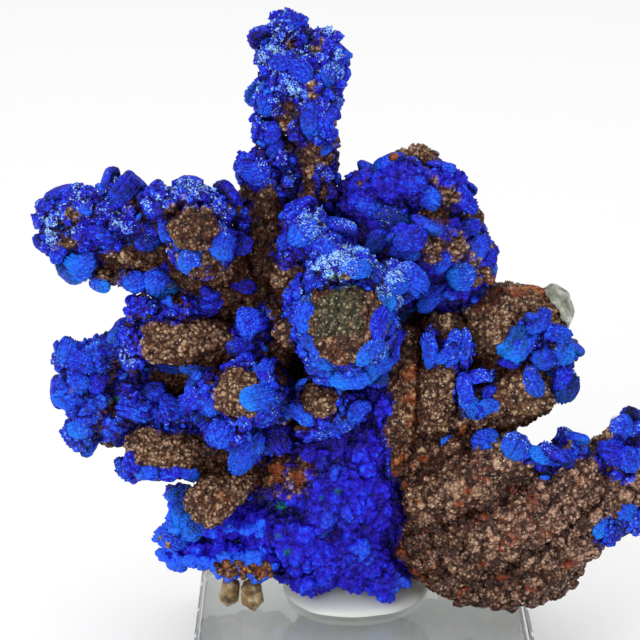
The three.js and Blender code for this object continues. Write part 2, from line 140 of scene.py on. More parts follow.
# Meshes


def buildMesh(name, points, faces, attributes, material, smooth=True):
    # One object from arrays: points in millimetres, faces as rows of 3 or 4 indices, float values per point.
    mesh = bpy.data.meshes.new(name)
    sides = faces.shape[1]
    mesh.vertices.add(len(points))
    mesh.vertices.foreach_set("co", (points * mm).astype(np.float32).ravel())
    mesh.loops.add(faces.size)
    mesh.loops.foreach_set("vertex_index", faces.astype(np.int32).ravel())
    mesh.polygons.add(len(faces))
    mesh.polygons.foreach_set("loop_start", np.arange(len(faces), dtype=np.int32) * sides)
    mesh.update(calc_edges=True)
    for attributeName, values in attributes.items():
        layer = mesh.attributes.new(attributeName, "FLOAT", "POINT")
        layer.data.foreach_set("value", np.asarray(values, dtype=np.float32))
    mesh.polygons.foreach_set("use_smooth", np.full(len(faces), smooth))
    mesh.materials.append(material)
    obj = bpy.data.objects.new(name, mesh)
    bpy.context.scene.collection.objects.link(obj)
    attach(obj, "root")
    return obj


def arraysOf(mesh):
    # Points in millimetres, unit normals, and the faces of a mesh of quads.
    points = np.empty(len(mesh.vertices) * 3, dtype=np.float32)
    mesh.vertices.foreach_get("co", points)
    normals = np.empty(len(mesh.vertices) * 3, dtype=np.float32)
    mesh.vertex_normals.foreach_get("vector", normals)
    corners = np.empty(len(mesh.loops), dtype=np.int32)
    mesh.loops.foreach_get("vertex_index", corners)
    points = points.reshape(-1, 3).astype(float) / mm
    return points, normals.reshape(-1, 3).astype(float), corners.reshape(-1, 4)


def grownCopy(node, grow, voxel, smoothing):
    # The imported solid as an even, rounded skin: a welded copy, swollen by grow, remeshed in voxels and
    # relaxed, so that no flat facet is left under the crystals raised from it.
    copy = bpy.data.objects.new(node + "_copy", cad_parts[node].data.copy())
    bpy.context.scene.collection.objects.link(copy)
    weld = copy.modifiers.new("weld", "WELD")
    weld.merge_threshold = 0.001 * mm
    swell = copy.modifiers.new("swell", "DISPLACE")
    swell.mid_level = 0
    swell.strength = grow * mm
    remesh = copy.modifiers.new("voxels", "REMESH")
    remesh.mode = "VOXEL"
    remesh.voxel_size = voxel * mm
    relax = copy.modifiers.new("relax", "SMOOTH")
    relax.factor = 0.5
    relax.iterations = smoothing
    shaped = copy.evaluated_get(bpy.context.evaluated_depsgraph_get())
    arrays = arraysOf(shaped.to_mesh())
    shaped.to_mesh_clear()
    bpy.data.objects.remove(copy)
    return arrays


# Materials


def addNode(tree, kind, settings=None, links=None, **inputs):
    # Adds a node with its settings, its input values and the sockets that feed it.
    node = tree.nodes.new(kind)
    for name, value in (settings or {}).items():
        setattr(node, name, value)
    for name, value in inputs.items():
        node.inputs[name.replace("_", " ")].default_value = value
    for name, socket in (links or {}).items():
        tree.links.new(socket, node.inputs[name])
    return node


def newMaterial(name, **inputs):
    # A principled material with its input values, and the tree and shader to go on with.
    material = bpy.data.materials.new(name)
    material.use_nodes = True
    tree = material.node_tree
    shader = tree.nodes["Principled BSDF"]
    for key, value in inputs.items():
        shader.inputs[key.replace("_", " ")].default_value = value
    return material, tree, shader


# Colour stops. seamShade and deep are painted shade in the seams. crest and tips are painted highlights on the
# crests and the lightest random tones. spark and sparkle are painted glints. The rest are the minerals' own
# colours.
azuriteLook = {
    "seamShade": "#05021e",
    "deep": "#17067c",
    "ultramarine": "#260ec2",
    "royal": "#1b30ee",
    "crest": "#2a70ff",
    "azure": "#1c88ff",
    "spark": "#b0e8ff",
    "malachite": "#0f6a4c",
    "roughness": 0.45,
    "specular": 0.2,  # air between the blades swallows most of the gloss
    "blade": 0.55,
    "glint": 0.36,
}
goethiteLook = {
    "seamShade": "#070403",
    "deep": "#261911",
    "middle": "#624a36",
    "crest": "#94785c",
    "tips": "#c0a080",
    "sparkle": "#f0e2cc",
    "russet": "#5c2c1c",
    "mauve": "#8c6a60",
    "oxblood": "#84301e",
    "rust": "#94441a",
    "limonite": "#c07c24",
    "olive": "#4c4e3a",
    "grain": 0.9,
}
# What each point of a drusy mesh carries, from 0 to 1: relief (painted shade and highlight with a
# random tone: 0 painted dark in a seam, 1 painted light on a crest), cover (1 azurite, 0 goethite), velvet
# (1 where the azurite is felt-like), azure (light blue, partly painted light), spark (painted glints: the
# share of blades that catch the light), rust, mauve and malachite.
channels = ("relief", "cover", "velvet", "azure", "spark", "rust", "mauve", "malachite")


def drusyMaterial(name):
    # Azurite and goethite crusts: packed fine crystals, satin, with painted shade dark in the seams, painted
    # highlights lighter on the crests and painted glints.
    material, tree, shader = newMaterial(name, Roughness=azuriteLook["roughness"],
                                         Specular_IOR_Level=azuriteLook["specular"])
    spot = addNode(tree, "ShaderNodeTexCoord").outputs["Object"]
    value = {}
    for key in channels:
        value[key] = addNode(tree, "ShaderNodeAttribute", {"attribute_name": key}).outputs["Fac"]

    def maths(operation, *terms):
        # Numbers and sockets taken together.
        node = addNode(tree, "ShaderNodeMath", {"operation": operation})
        for socket, term in zip(node.inputs, terms):
            if isinstance(term, (int, float)):
                socket.default_value = term
            else:
                tree.links.new(term, socket)
        return node.outputs[0]

    def cells(size):
        # Crystals packed side by side: how high each stands, which sets its bump and its painted highlight, and
        # two random tones of its own.
        node = addNode(tree, "ShaderNodeTexVoronoi", None, {"Vector": spot}, Scale=1 / (size * mm))
        top = addNode(tree, "ShaderNodeMapRange", None, {"Value": node.outputs["Distance"]},
                      From_Min=0.15, From_Max=0.75, To_Min=1.0, To_Max=0.0).outputs[0]
        tone = addNode(tree, "ShaderNodeSeparateColor", None, {"Color": node.outputs["Color"]})
        return top, tone.outputs[0], tone.outputs[1]

    def ramp(look, amount, stops):
        # Colours of a look, each at its place from 0 to 1.
        node = addNode(tree, "ShaderNodeValToRGB", None, {"Fac": amount})
        elements = node.color_ramp.elements
        while len(elements) < len(stops):
            elements.new(1)
        for element, (position, key) in zip(elements, stops):
            element.position = position
            element.color = linear(look[key])
        return node.outputs["Color"]

    def blend(amount, under, over, kind="MIX"):
        # over laid on under. kind is COLOR where the grain's own light and dark should stay.
        settings = {"data_type": "RGBA", "blend_type": kind}
        node = addNode(tree, "ShaderNodeMix", settings, {0: amount, 6: under})
        if isinstance(over, str):
            node.inputs[7].default_value = linear(over)
        else:
            tree.links.new(over, node.inputs[7])
        return node.outputs[2]

    bladeTop, bladeTone, _ = cells(azuriteLook["blade"])
    _, glintTone, glint = cells(azuriteLook["glint"])
    grainTop, grainTone, grainGlint = cells(goethiteLook["grain"])

    # Painted highlight and shade: each blade is painted lighter on its top and darker at its edges, with a random
    # tone.
    bladeSwing = maths("MULTIPLY_ADD", bladeTone, 0.64, maths("MULTIPLY_ADD", bladeTop, 0.4, -0.54))
    bladeSwing = maths("MULTIPLY", bladeSwing, maths("MULTIPLY_ADD", value["velvet"], -0.55, 1.0))
    blue = ramp(azuriteLook, maths("ADD", value["relief"], bladeSwing),
                [(0, "seamShade"), (0.22, "deep"), (0.5, "ultramarine"), (0.78, "royal"), (1, "crest")])
    # Azure: the crust's own light blue, partly painted light, as the azure channel follows lit crests and lower
    # sides.
    azureAndRimLight = maths("MULTIPLY", value["azure"], maths("MULTIPLY_ADD", bladeTone, 0.8, 0.4))
    blue = blend(azureAndRimLight, blue, azuriteLook["azure"])
    blue = blend(value["malachite"], blue, azuriteLook["malachite"])
    # Painted highlights: blades whose glint and spark pass 1 are painted pale cyan, as facets that catch the
    # light.
    lit = addNode(tree, "ShaderNodeMapRange", None, {"Value": maths("ADD", glint, value["spark"])},
                  From_Min=1.0, From_Max=1.1).outputs[0]
    glitter = maths("MULTIPLY", lit, maths("MULTIPLY_ADD", glintTone, 0.75, 0.2))
    blue = blend(glitter, blue, azuriteLook["spark"])

    # Painted highlight and shade: each grain is painted lighter on its top and darker at its edges, with a random
    # tone.
    grainSwing = maths("MULTIPLY_ADD", grainTone, 0.78, maths("MULTIPLY_ADD", grainTop, 0.6, -0.68))
    brown = ramp(goethiteLook, maths("ADD", value["relief"], grainSwing),
                 [(0, "seamShade"), (0.26, "deep"), (0.56, "middle"), (0.84, "crest"), (1, "tips")])
    brown = blend(maths("MULTIPLY", grainGlint, 0.5), brown, goethiteLook["russet"])
    # Painted glints: the odd goethite grain is painted near white on its crest.
    grainLit = maths("MULTIPLY", maths("GREATER_THAN", glint, 0.985), value["relief"])
    brown = blend(grainLit, brown, goethiteLook["sparkle"])
    brown = blend(maths("MULTIPLY", value["mauve"], 0.4), brown, goethiteLook["mauve"], "COLOR")
    brown = blend(value["malachite"], brown, goethiteLook["olive"], "COLOR")
    stain = ramp(goethiteLook, grainTone, [(0, "oxblood"), (0.65, "rust"), (1, "limonite")])
    stain = blend(maths("MULTIPLY", value["mauve"], 0.7), stain, goethiteLook["oxblood"])
    rusted = maths("GREATER_THAN", maths("ADD", grainGlint, value["rust"]), 0.85)
    brown = blend(maths("MULTIPLY", maths("MULTIPLY", value["rust"], rusted), 0.85), brown, stain)

    tree.links.new(blend(value["cover"], brown, blue), shader.inputs["Base Color"])
    heights = {0: value["cover"], 2: grainTop, 3: bladeTop}
    swell = addNode(tree, "ShaderNodeMix", {"data_type": "FLOAT"}, heights).outputs[0]
    bump = addNode(tree, "ShaderNodeBump", None, {"Height": swell}, Strength=0.8, Distance=0.25 * mm)
    tree.links.new(bump.outputs["Normal"], shader.inputs["Normal"])
    return material


drusyCrust = drusyMaterial("azurite and goethite drusy crust")

# Grown skins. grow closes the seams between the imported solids, and crust is 1 for azurite and 0 for rock.
skinSettings = {
    "goethite": {"crust": 0, "grow": 0.5, "voxel": 0.5, "smoothing": 14},
    "azurite": {"crust": 1, "grow": 0.15, "voxel": 0.45, "smoothing": 8},
}
# What one piece does otherwise. velvet runs from 0 for sparkling clumps to 1 for felt, and drape is how often
# its folds turn along each axis. bare is how far the rock shows through, azure and spark are how much of it
# is light blue or catches the light as painted glints, and lift lightens its painted shading.
usualTraits = {"velvet": 0, "drape": None, "bare": 1, "azure": 0.06, "spark": 0.25, "lift": 0}
traits = {
    "azurite_apron": {"grow": 0.6, "velvet": 1, "drape": (0.9, 1, 0.4), "spark": 0},
    "azurite_ball_crust": {"velvet": 0.7, "bare": 0.5, "spark": 0.12},
    "azurite_centre_coat": {"bare": 0.5, "azure": 0.3, "spark": 0.7},
    "azurite_centre_left_coat": {"grow": 0.5, "azure": 0.35, "spark": 0.45},
    "azurite_cup": {"azure": 0.3, "spark": 0.4},
    "azurite_far_right_edge": {"azure": 0.6},
    "azurite_far_right_tip": {"azure": 0.45, "spark": 0.35},
    "azurite_inner_bridge": {"grow": -0.6, "spark": 0.3},
    "azurite_knob_side": {"spark": 0.5},
    "azurite_ledge": {"velvet": 1, "drape": (0.35, 1, 1.1), "spark": 0, "lift": 0.7},
    "azurite_left_arm_crust": {"spark": 0.75},
    "azurite_left_arm_lenses": {"grow": -0.9, "azure": 0.35},
    "azurite_left_bar_crust": {"azure": 0.2, "spark": 0.45},
    "azurite_left_outer_crust": {"grow": 0.5, "bare": 0.6, "azure": 0.5, "spark": 0.3},
    "azurite_left_recess_lenses": {"grow": -0.3},
    "azurite_lower_left_edge": {"azure": 0.4},
    "azurite_petals": {"velvet": 0.6, "bare": 0},
    "azurite_right_chain": {"grow": -0.9, "azure": 0.45},
    "azurite_right_hook": {"grow": -0.6, "azure": 0.5, "spark": 0.35},
    "azurite_side_cap": {"grow": 0.7, "bare": 0.3, "spark": 0.6},
    "azurite_slab_lenses": {"grow": -1.0, "azure": 0.35},
    "azurite_tower_beads": {"spark": 0.5},
    "azurite_tower_crown": {"bare": 0.2, "spark": 0.85},
    "azurite_tower_drip": {"grow": 0.9, "bare": 0.3, "spark": 0.6},
    "azurite_upper_centre": {"spark": 0.4},
    "azurite_upper_left_coat": {"spark": 0.55},
    "goethite_far_right_finger": {"grow": 0.6},
    "goethite_lower_right_mass": {"grow": 0.7},
    "goethite_middle_ridge": {"grow": 1.2},
    "goethite_upper_ridge": {"grow": 1.2},
}


def goethiteReliefAndShade(points, pebbly):
    # Drusy goethite: broad lumps, with small domes packed on them, and pebbles where it is pebbly. It is painted
    # dark in the seams and light on the dome tops, as painted shade and highlight, with a random tone per dome.
    lump, _ = domes(points + 0.8 * softNoise(points, 4.0, 10)[:, None], 5.0, 11)
    dome, owner = domes(points + 0.4 * softNoise(points, 2.0, 12)[:, None], 2.1, 13)
    height = (0.8 + 0.5 * pebbly) * lump + 0.7 * dome + 0.8 * softNoise(points, 9, 15) - 0.9
    relief = 0.36 + 0.28 * dome + 0.12 * lump + 0.2 * (owner - 0.5) + (0.22 - 0.3 * (1 - lump)) * pebbly
    return height, relief


def azuriteReliefAndShade(points, soft, drape):
    # Azurite: clumps of blades as big domes, with small domes packed on them. Velvet has finer, rounder beads
    # on broad drapes. It is painted dark in the seams and light on the tops and folds, as painted shade and
    # highlight, with a random tone per dome.
    lump, _ = domes(points + 0.9 * softNoise(points, 3.0, 21)[:, None], 4.4, 22)
    dome, owner = domes(points + 0.3 * softNoise(points, 1.5, 26)[:, None], 1.7 if soft > 0.5 else 2.0, 23)
    fold = softNoise(points * np.array(drape), 5.5, 27) if drape else np.zeros(len(points))
    height = 1.3 * lump + (0.6 + 0.1 * soft) * dome + softNoise(points, 8, 25) - 1.2 + 2.6 * fold
    relief = 0.22 + 0.05 * soft + (0.22 + 0.04 * soft) * lump + (0.36 - 0.12 * soft) * dome
    relief = relief + 0.18 * (owner - 0.5) + 0.2 * fold
    return height, relief


skins = {}
for node in sorted(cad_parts):
    mineral = node.split("_")[0]
    if mineral not in skinSettings:
        continue
    own = {**usualTraits, **skinSettings[mineral], **traits.get(node, {})}
    points, normals, faces = grownCopy(node, own["grow"], own["voxel"], own["smoothing"])
    if own["crust"]:
        height, relief = azuriteReliefAndShade(points, own["velvet"], own["drape"])
    else:
        pebbly = smoothStep(8, 16, points[:, 0]) * smoothStep(80, 60, points[:, 2])
        height, relief = goethiteReliefAndShade(points, pebbly)
    raised = points + normals * height[:, None]
    skins[node] = {"own": own, "points": raised, "normals": normals, "faces": faces, "relief": relief}
print("skins grown:", len(skins))

# All the skins as one set of points, with each node's share of them.
allPoints, allNormals, allShadeAndTone = (np.concatenate([skin[key] for skin in skins.values()])
                                    for key in ("points", "normals", "relief"))
starts = np.cumsum([0] + [len(skin["points"]) for skin in skins.values()])
allFaces = np.concatenate([skin["faces"] + start for skin, start in zip(skins.values(), starts)])


def perNode(key):
    # Each point's value of one of its node's traits.
    return np.concatenate([np.full(len(skin["points"]), float(skin["own"][key])) for skin in skins.values()])


onAzurite = perNode("crust") > 0.5
softness = perNode("velvet")
surfaceTree = BVHTree.FromPolygons(allPoints.tolist(), allFaces.tolist())


def pinned(right, up):
    # The point and the outward normal where a pin pushed in along the display view meets the specimen.
    target = place(right, up)
    hit, normal, _, _ = surfaceTree.ray_cast(Vector(eye), Vector(unit(target - eye)))
    if hit is None:
        return target, -lookAlong
    normal = np.array(normal)
    return np.array(hit), normal if normal @ lookAlong < 0 else -normal


# Stains: right, up, radius and strength, which is 1 where it is not given. Bare is rock with no azurite on
# it, dusk is deep shade, spark is painted glints, and malachite is green.
stains = {
    "rust": [
        (44, 79.5, 5), (38, 79.5, 4, 0.8), (49, 77, 4, 0.9), (33, 80, 3, 0.5), (9, 114, 2.5, 0.8),
        (8, 112, 2, 0.5), (11.5, 58, 3, 0.7), (11.5, 52, 3, 0.8), (12, 46, 2.5, 0.5), (26, 50, 3, 0.4),
        (33, 51, 3, 0.4), (25, 42.7, 2.5, 0.8), (-22, 32.5, 3.5, 0.6), (-21, 37, 2, 0.8),
        (-17, 31.5, 2.2, 0.8), (-19, 26, 1.2, 0.9), (-35, 27, 3, 0.4), (-35.4, 6, 2.5, 0.8),
        (-26.6, 6, 2.5, 0.9), (-31, 7, 2, 0.6), (7.5, 32, 1.5, 0.8), (15.5, 36.5, 1.5, 0.8),
        (26.5, 27.7, 1.6, 0.9), (31, 30, 1.3, 0.9), (24.7, 24, 1.5, 0.8), (8, 27.7, 2.2, 0.7),
        (10, 18.5, 1.6, 0.8), (19, 20.7, 1.3, 0.8), (31, 8.7, 2, 0.7), (47.5, 17.5, 2, 0.7),
        (12, 8.5, 3.2, 0.7), (10, 14.7, 1.8, 0.8), (18, 6.2, 2.5, 0.7), (52, 54, 3, 0.4), (5, 40, 2, 0.7),
        (9, 36, 2.2, 0.8), (12, 33.5, 2, 0.7), (3.5, 33, 2, 0.7), (6, 24, 2, 0.8), (14, 25, 2, 0.7),
        (10.5, 22.5, 1.8, 0.8), (16, 12, 2, 0.7), (23.5, 11, 2, 0.7), (34, 27, 1.8, 0.6), (43, 25, 2, 0.5),
        (38, 15, 2, 0.6), (28, 20, 1.6, 0.6), (46, 31, 1.6, 0.5), (55, 30, 2, 0.5),
    ],
    "bare": [
        # tower, and the column under it
        (-8, 129, 2), (-13, 128.5, 1.6), (-13, 126, 2), (-18, 123.5, 2.6), (-19.5, 120, 2.6),
        (-18, 114.5, 3), (-10, 112, 3), (-18, 138, 1.6), (-10.5, 139, 1.4), (-12, 137, 1.5),
        # upper right ball
        (17.5, 97.5, 4.6), (15.6, 93, 4.4), (17.3, 89, 4), (20.5, 101.5, 3.6), (24, 89.5, 5.4),
        (27.5, 86, 3.6), (13.5, 89.5, 3), (17.3, 106, 2), (27, 97.5, 3.4), (30, 83, 3), (15, 110.5, 4.6),
        (-1, 105, 1),
        # left arm and upper left finger
        (-56, 101, 4.4), (-72, 97.5, 2.8), (-73.7, 89.8, 3), (-62, 86, 5), (-64, 82.8, 4), (-54.4, 87, 4.4),
        (-43, 96, 6), (-41, 91, 6), (-46.5, 98.5, 3), (-38.5, 97.5, 3), (-44, 88, 4), (-37.5, 86, 5),
        (-47.5, 85, 4), (-42, 82.5, 5), (-37, 82, 5), (-47, 80.7, 4), (-37, 84, 4), (-40.5, 80, 3),
        (-62, 62.5, 2.6), (-65, 57.8, 3), (-42, 67, 6),
        # centre
        (-27, 97.5, 3), (-8.7, 89.3, 2.4), (-19, 80.5, 5), (-21.7, 77.7, 3), (-19.8, 69.5, 3.4),
        (-4, 82.5, 2), (2.7, 77, 2.6), (-6.5, 73, 8), (-6, 66, 5), (10.8, 73, 3), (9.5, 62, 2),
        # lower left
        (-27.5, 33.5, 5), (-23, 32, 5.6), (-17.5, 31.5, 5), (-21.5, 36.5, 4), (-15, 34, 3), (-19, 26, 1),
        (-50, 15, 2), (-35.4, 6.5, 2.4), (-26.6, 6.5, 2.4), (-31, 7, 2),
    ],
    "azure": [
        (-70.5, 84.8, 5, 0.9), (-65.8, 80, 3, 0.7), (-54.5, 81, 4, 0.6), (-43.5, 86.3, 3, 0.7),
        (-35.5, 88, 3, 0.9), (-72, 50, 6, 0.6), (-70, 43, 5, 0.7), (-75, 62, 4, 0.4), (-60, 45, 5, 0.5),
        (-47, 59.5, 4, 0.6), (-62, 33, 3, 0.7), (-53, 31, 5, 0.5), (-45.5, 20, 5.5), (-50, 26.5, 2.5, 0.6),
        (-31, 35, 4, 0.8), (-22, 38, 2.5, 0.9), (-37, 39, 3, 0.6), (-28, 69, 3, 0.4), (-3, 55.5, 6),
        (5, 60, 4, 0.9), (9, 68, 3.5, 0.8), (-12, 60, 3.5, 0.6), (-38, 47, 3, 0.5), (-28, 51, 4, 0.7),
        (-16, 46, 3, 0.4), (-12, 117, 2.5, 0.9), (24, 83, 4.5, 0.7), (19.5, 77, 4, 0.7), (33, 86, 3.5, 0.7),
        (27.5, 50.5, 5), (21, 41, 4), (31.5, 41, 4), (38.5, 39.5, 3, 0.5), (45, 37.5, 3.5, 0.9),
        (61.5, 18.5, 5), (67, 24, 4, 0.9), (-13, 76, 4, 0.6), (-2, 86, 5, 0.6), (5, 83, 4, 0.7),
        (8, 77, 4, 0.8), (7, 70, 4, 0.8), (3, 63, 4, 0.9), (-10, 61, 4, 0.7), (-9, 33, 4, 0.3),
        (-7, 20, 5, 0.3), (0, 10, 5, 0.35), (9.5, 3.5, 3, 0.6), (-5, 45, 4, 0.3), (39, 66, 4, 0.7),
        (43, 69, 3, 0.5), (49.5, 54, 4, 0.5), (47, 62, 4, 0.7), (25, 64, 3, 0.4), (10, 3, 4, 0.5),
    ],
    "spark": [
        (-20, 144.6, 2.5, 0.8), (-17, 141, 2, 0.9), (-12.3, 142, 2.5), (-9, 141.5, 2.2, 0.8),
        (-22, 136.7, 2.6, 0.9), (-24.8, 134.7, 2.5, 0.7), (-25.8, 131, 2.6, 0.8), (-21, 131.8, 2.2, 0.8),
        (-16, 135, 2, 0.9), (-10.5, 131, 2.2, 0.8), (-6, 136.7, 2.5, 0.8), (-17, 127, 2.6),
        (-26, 128, 2.2, 0.7), (-22, 120.4, 2, 0.8), (-76, 95, 5, 0.8), (-61, 96.5, 3, 0.6),
        (-70, 98, 4, 0.6), (-54.3, 92.5, 2.2), (-46, 104.7, 4, 0.8), (-39, 103, 4, 0.8),
        (-42.7, 99, 2.5, 0.9), (-51, 99.8, 3, 0.8), (-36, 97, 3, 0.7), (-41, 71.5, 2.2, 0.9),
        (-50, 69.8, 3, 0.8), (-58.5, 71.5, 3, 0.5), (-24.8, 82, 2.2, 0.9), (-13.5, 96, 3.5, 0.9),
        (-11, 90, 3, 0.8), (-6, 94, 2.8, 0.9), (-8.5, 84, 5), (-1.7, 87, 5), (2.7, 85, 4.5), (7.7, 80, 4),
        (-12, 76.5, 4), (9, 75, 3, 0.8), (-13, 67, 3, 0.6), (22.5, 74, 2.4), (51.5, 42, 2.6, 0.9),
        (-60, 62, 3, 0.5), (-38, 56, 2.5, 0.6), (28, 92, 2, 0.6), (20, 95, 2, 0.5), (49, 72, 2, 0.5),
        (-66, 40, 2, 0.6),
    ],
    "dusk": [
        (-19, 144, 2, 0.6), (-13, 138, 3, 0.5), (-22.5, 129, 2, 0.5), (-12.5, 120, 2.4, 0.7),
        (-59.5, 102, 5, 0.7), (-54, 89.5, 4, 0.6), (-66, 92, 3.5, 0.5), (-41.5, 94, 7, 0.8),
        (-38, 85, 5, 0.5), (6.7, 97, 4.5, 0.8), (13, 87, 3.4, 0.6), (29, 89, 4, 0.5), (11.5, 105, 3.4, 0.5),
        (2, 93, 5, 0.3), (18, 96, 6, 0.5), (-6.5, 72, 9, 0.8), (-2, 77, 3, 0.95), (-9, 79, 3, 0.9),
        (-5, 66, 3.4, 0.9), (-13, 75, 3, 0.9), (-9, 63, 2.5, 0.8), (4.5, 75.5, 2.5, 0.8),
        (-28, 40, 4.5, 0.4), (-22, 43, 3.4, 0.5), (-29, 26, 4, 0.7), (-24, 24, 3, 0.6), (38.5, 39, 3, 0.5),
        (63, 37, 3.4, 0.4), (50, 62, 3, 0.4), (50, 55, 3, 0.5), (-75, 62, 3.4, 0.5), (-10, 36, 4, 0.3),
        (-40, 43, 3, 0.4), (-8, 37, 2.5, 0.4), (33, 61, 3, 0.8), (39, 58.5, 2.5, 0.8), (12.5, 70, 2.6, 0.8),
        (12, 61, 1.8, 0.6), (24, 34, 4, 0.5), (36, 30, 4, 0.4), (-63, 54, 3, 0.6), (4, 68, 2, 0.6),
        # clefts in the velvet, and pits low on the right
        (-17, 39, 2.5, 0.6), (-15.5, 30, 2.4, 0.6), (-14, 22, 2.2, 0.5), (-2.5, 40, 2, 0.5),
        (-1, 30, 2.2, 0.5), (-40, 16.5, 1.8, 0.8), (-36, 16, 1.8, 0.8), (-32, 15.5, 1.8, 0.8),
        (-28, 15.5, 1.8, 0.8), (-24, 16, 1.8, 0.7), (-20, 17, 1.8, 0.6), (8.5, 40, 2.4), (14, 30, 2, 0.7),
        (20, 22, 2, 0.7), (12, 20, 1.8, 0.8), (26, 14, 2, 0.7), (33, 19, 2, 0.6),
        # grooves between the ridges low on the right
        (40, 31, 1.8, 0.9), (37.5, 28.7, 1.8, 0.9), (35, 26.3, 1.8, 0.9), (32.5, 24, 1.8, 0.8),
        (30, 22, 1.8, 0.7), (51, 28.5, 1.6, 0.8), (48.5, 26, 1.6, 0.8), (46, 23.7, 1.6, 0.8),
        (43.5, 21, 1.6, 0.8), (41, 18.5, 1.6, 0.7), (5, 15, 2, 0.6), (17, 15, 1.8, 0.6), (40, 10, 2.4, 0.5),
        (29, 25, 1.6, 0.6), (45, 19, 2, 0.4),
    ],
    "malachite": [
        (-20.7, 24, 1.9), (-19, 11.8, 1.2, 0.9), (-21.7, 16, 1, 0.8), (-10.5, 26, 1, 0.7),
        (-6.7, 28, 1, 0.7), (-9.8, 16.7, 1, 0.7), (-62, 51, 2, 0.5), (-6.5, 74, 8, 0.75),
    ],
}


def painted(kind, points):
    # Round patches with ragged edges, where pins in the view meet the specimen.
    total = np.zeros(len(points))
    for right, up, radius, *given in stains[kind]:
        strength = given[0] if given else 1
        centre, _ = pinned(right, up)
        near = np.flatnonzero(np.abs(points - centre).max(axis=1) < 2 * radius)
        spots = points[near]
        distance = np.linalg.norm(spots - centre, axis=1) + 0.7 * radius * softNoise(spots, 2.0, 31)
        amount = strength * (1 - smoothStep(0.5 * radius, 1.1 * radius, distance))
        total[near] = np.maximum(total[near], amount)
    return total


def countIn(cubes, points, corner, cell):
    # How many points lie in each of the cubes, whose side is cell, from a corner on.
    where = np.ravel_multi_index(tuple(((points - corner) / cell).astype(int).T), cubes)
    return np.bincount(where, minlength=int(np.prod(cubes))).reshape(cubes)


def blurred(grid, reach):
    # Each cube takes the mean of itself and its two neighbours along every axis in turn, reach times over.
    for _ in range(reach):
        for axis in range(3):
            grid = (np.roll(grid, 1, axis) + grid + np.roll(grid, -1, axis)) / 3
    return grid


def nearness(points, others, reach):
    # How densely others lie round each point: counts in cubes of 1 mm, blurred and read back.
    corner = np.minimum(points.min(0), others.min(0)) - reach - 1
    cubes = tuple((np.maximum(points.max(0), others.max(0)) - corner + reach + 2).astype(int))
    count = blurred(np.minimum(countIn(cubes, others, corner, 1), 3).astype(float), reach)
    return count[tuple((points - corner).astype(int).T)]


def crowding(points, normals, cell, reach=4, step=2.5):
    # How hemmed in each point is, from 0 to 1: the skins' share of the cubes round a spot just outside it.
    corner = allPoints.min(0) - cell * (reach + 4)
    cubes = tuple(((allPoints.max(0) - corner) / cell + reach + 5).astype(int))
    filled = blurred(np.minimum(countIn(cubes, allPoints, corner, cell) / (3 * cell**2), 1), reach)
    spots = np.clip(((points + normals * step * cell - corner) / cell).astype(int), 0, np.array(cubes) - 1)
    return filled[tuple(spots.T)]


def shadowed(points, normals):
    # 0 in the open and 1 deep in a cleft, from a near and a far look.
    near = smoothStep(0.16, 0.38, crowding(points, normals, 1.0))
    far = smoothStep(0.15, 0.34, crowding(points, normals, 2.5))
    return np.maximum(near, 0.9 * far)


patch = softNoise(allPoints, 5.5, 41) + 0.4 * softNoise(allPoints, 1.6, 42)
shadow = shadowed(allPoints, allNormals)
creep = smoothStep(0.35, 0.55, nearness(allPoints, allPoints[onAzurite], 2) + 0.28 * patch)
# Azurite in patches over the unseen side.
behind = smoothStep(2, 10, allPoints[:, 1])
creep = np.maximum(creep, smoothStep(0.22, 0.4, softNoise(allPoints, 13, 48) + 0.3 * patch) * behind)
bareInCrust = smoothStep(0.5, 0.7, patch + 0.3 * (0.5 - allShadeAndTone) + 0.5 * shadow) * (1 - softness)
bareInCrust = bareInCrust * perNode("bare")
dusk = painted("dusk", allPoints)
cover = np.where(onAzurite, 1 - bareInCrust, creep) * (1 - painted("bare", allPoints))
lowerRight = smoothStep(8, 16, allPoints[:, 0]) * smoothStep(75, 60, allPoints[:, 2])
# Painted glints: sparks lie in patches, more on faces turned up and towards the display side, where light falls.
sparkZone = perNode("spark") * smoothStep(-0.35, 0.45, softNoise(allPoints, 5, 46))
sparkZone = 0.8 * sparkZone * smoothStep(-0.7, 0.3, allNormals[:, 2] - 0.5 * allNormals[:, 1])
sparkZone = 0.03 + 0.55 * sparkZone + 0.6 * painted("spark", allPoints)
azureZone = 0.7 * perNode("azure") * (0.6 + 1.2 * softNoise(allPoints, 6, 45))
azureZone = np.maximum(azureZone, painted("azure", allPoints) * (0.8 + 0.3 * softNoise(allPoints, 1.5, 47)))
# Painted light and shade: the crust is painted darker where it is shadowed in clefts and under the dusk pins, and
# its azure and painted glints are kept to the crests and out of the shade.
litRelief = (allShadeAndTone + perNode("lift")) * (1 - (0.85 - 0.25 * softness) * shadow) * (1 - 0.6 * dusk)
values = {
    "relief": np.clip(litRelief, 0, 1),
    "cover": cover,
    "velvet": softness,
    "azure": np.clip(azureZone, 0, 1) * smoothStep(0.3, 0.7, allShadeAndTone) * (1 - shadow),
    "spark": np.clip(sparkZone * smoothStep(0.25, 0.5, allShadeAndTone) * (1 - shadow) * (1 - softness), 0, 1),
    "rust": np.maximum(painted("rust", allPoints), (0.18 + 0.06 * lowerRight) * smoothStep(0.1, 0.5, patch)),
    "mauve": lowerRight * (0.35 + 0.65 * smoothStep(18, 40, allPoints[:, 0])),
    "malachite": painted("malachite", allPoints),
}
for (node, skin), start in zip(skins.items(), starts):
    share = slice(start, start + len(skin["points"]))
    carried = {key: amounts[share] for key, amounts in values.items()}
    skin["object"] = buildMesh(node + "_druse", skin["points"], skin["faces"], carried, drusyCrust)
    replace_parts(skin["object"], node)
print("skin triangles:", len(allFaces) * 2)

# Azurite lenses

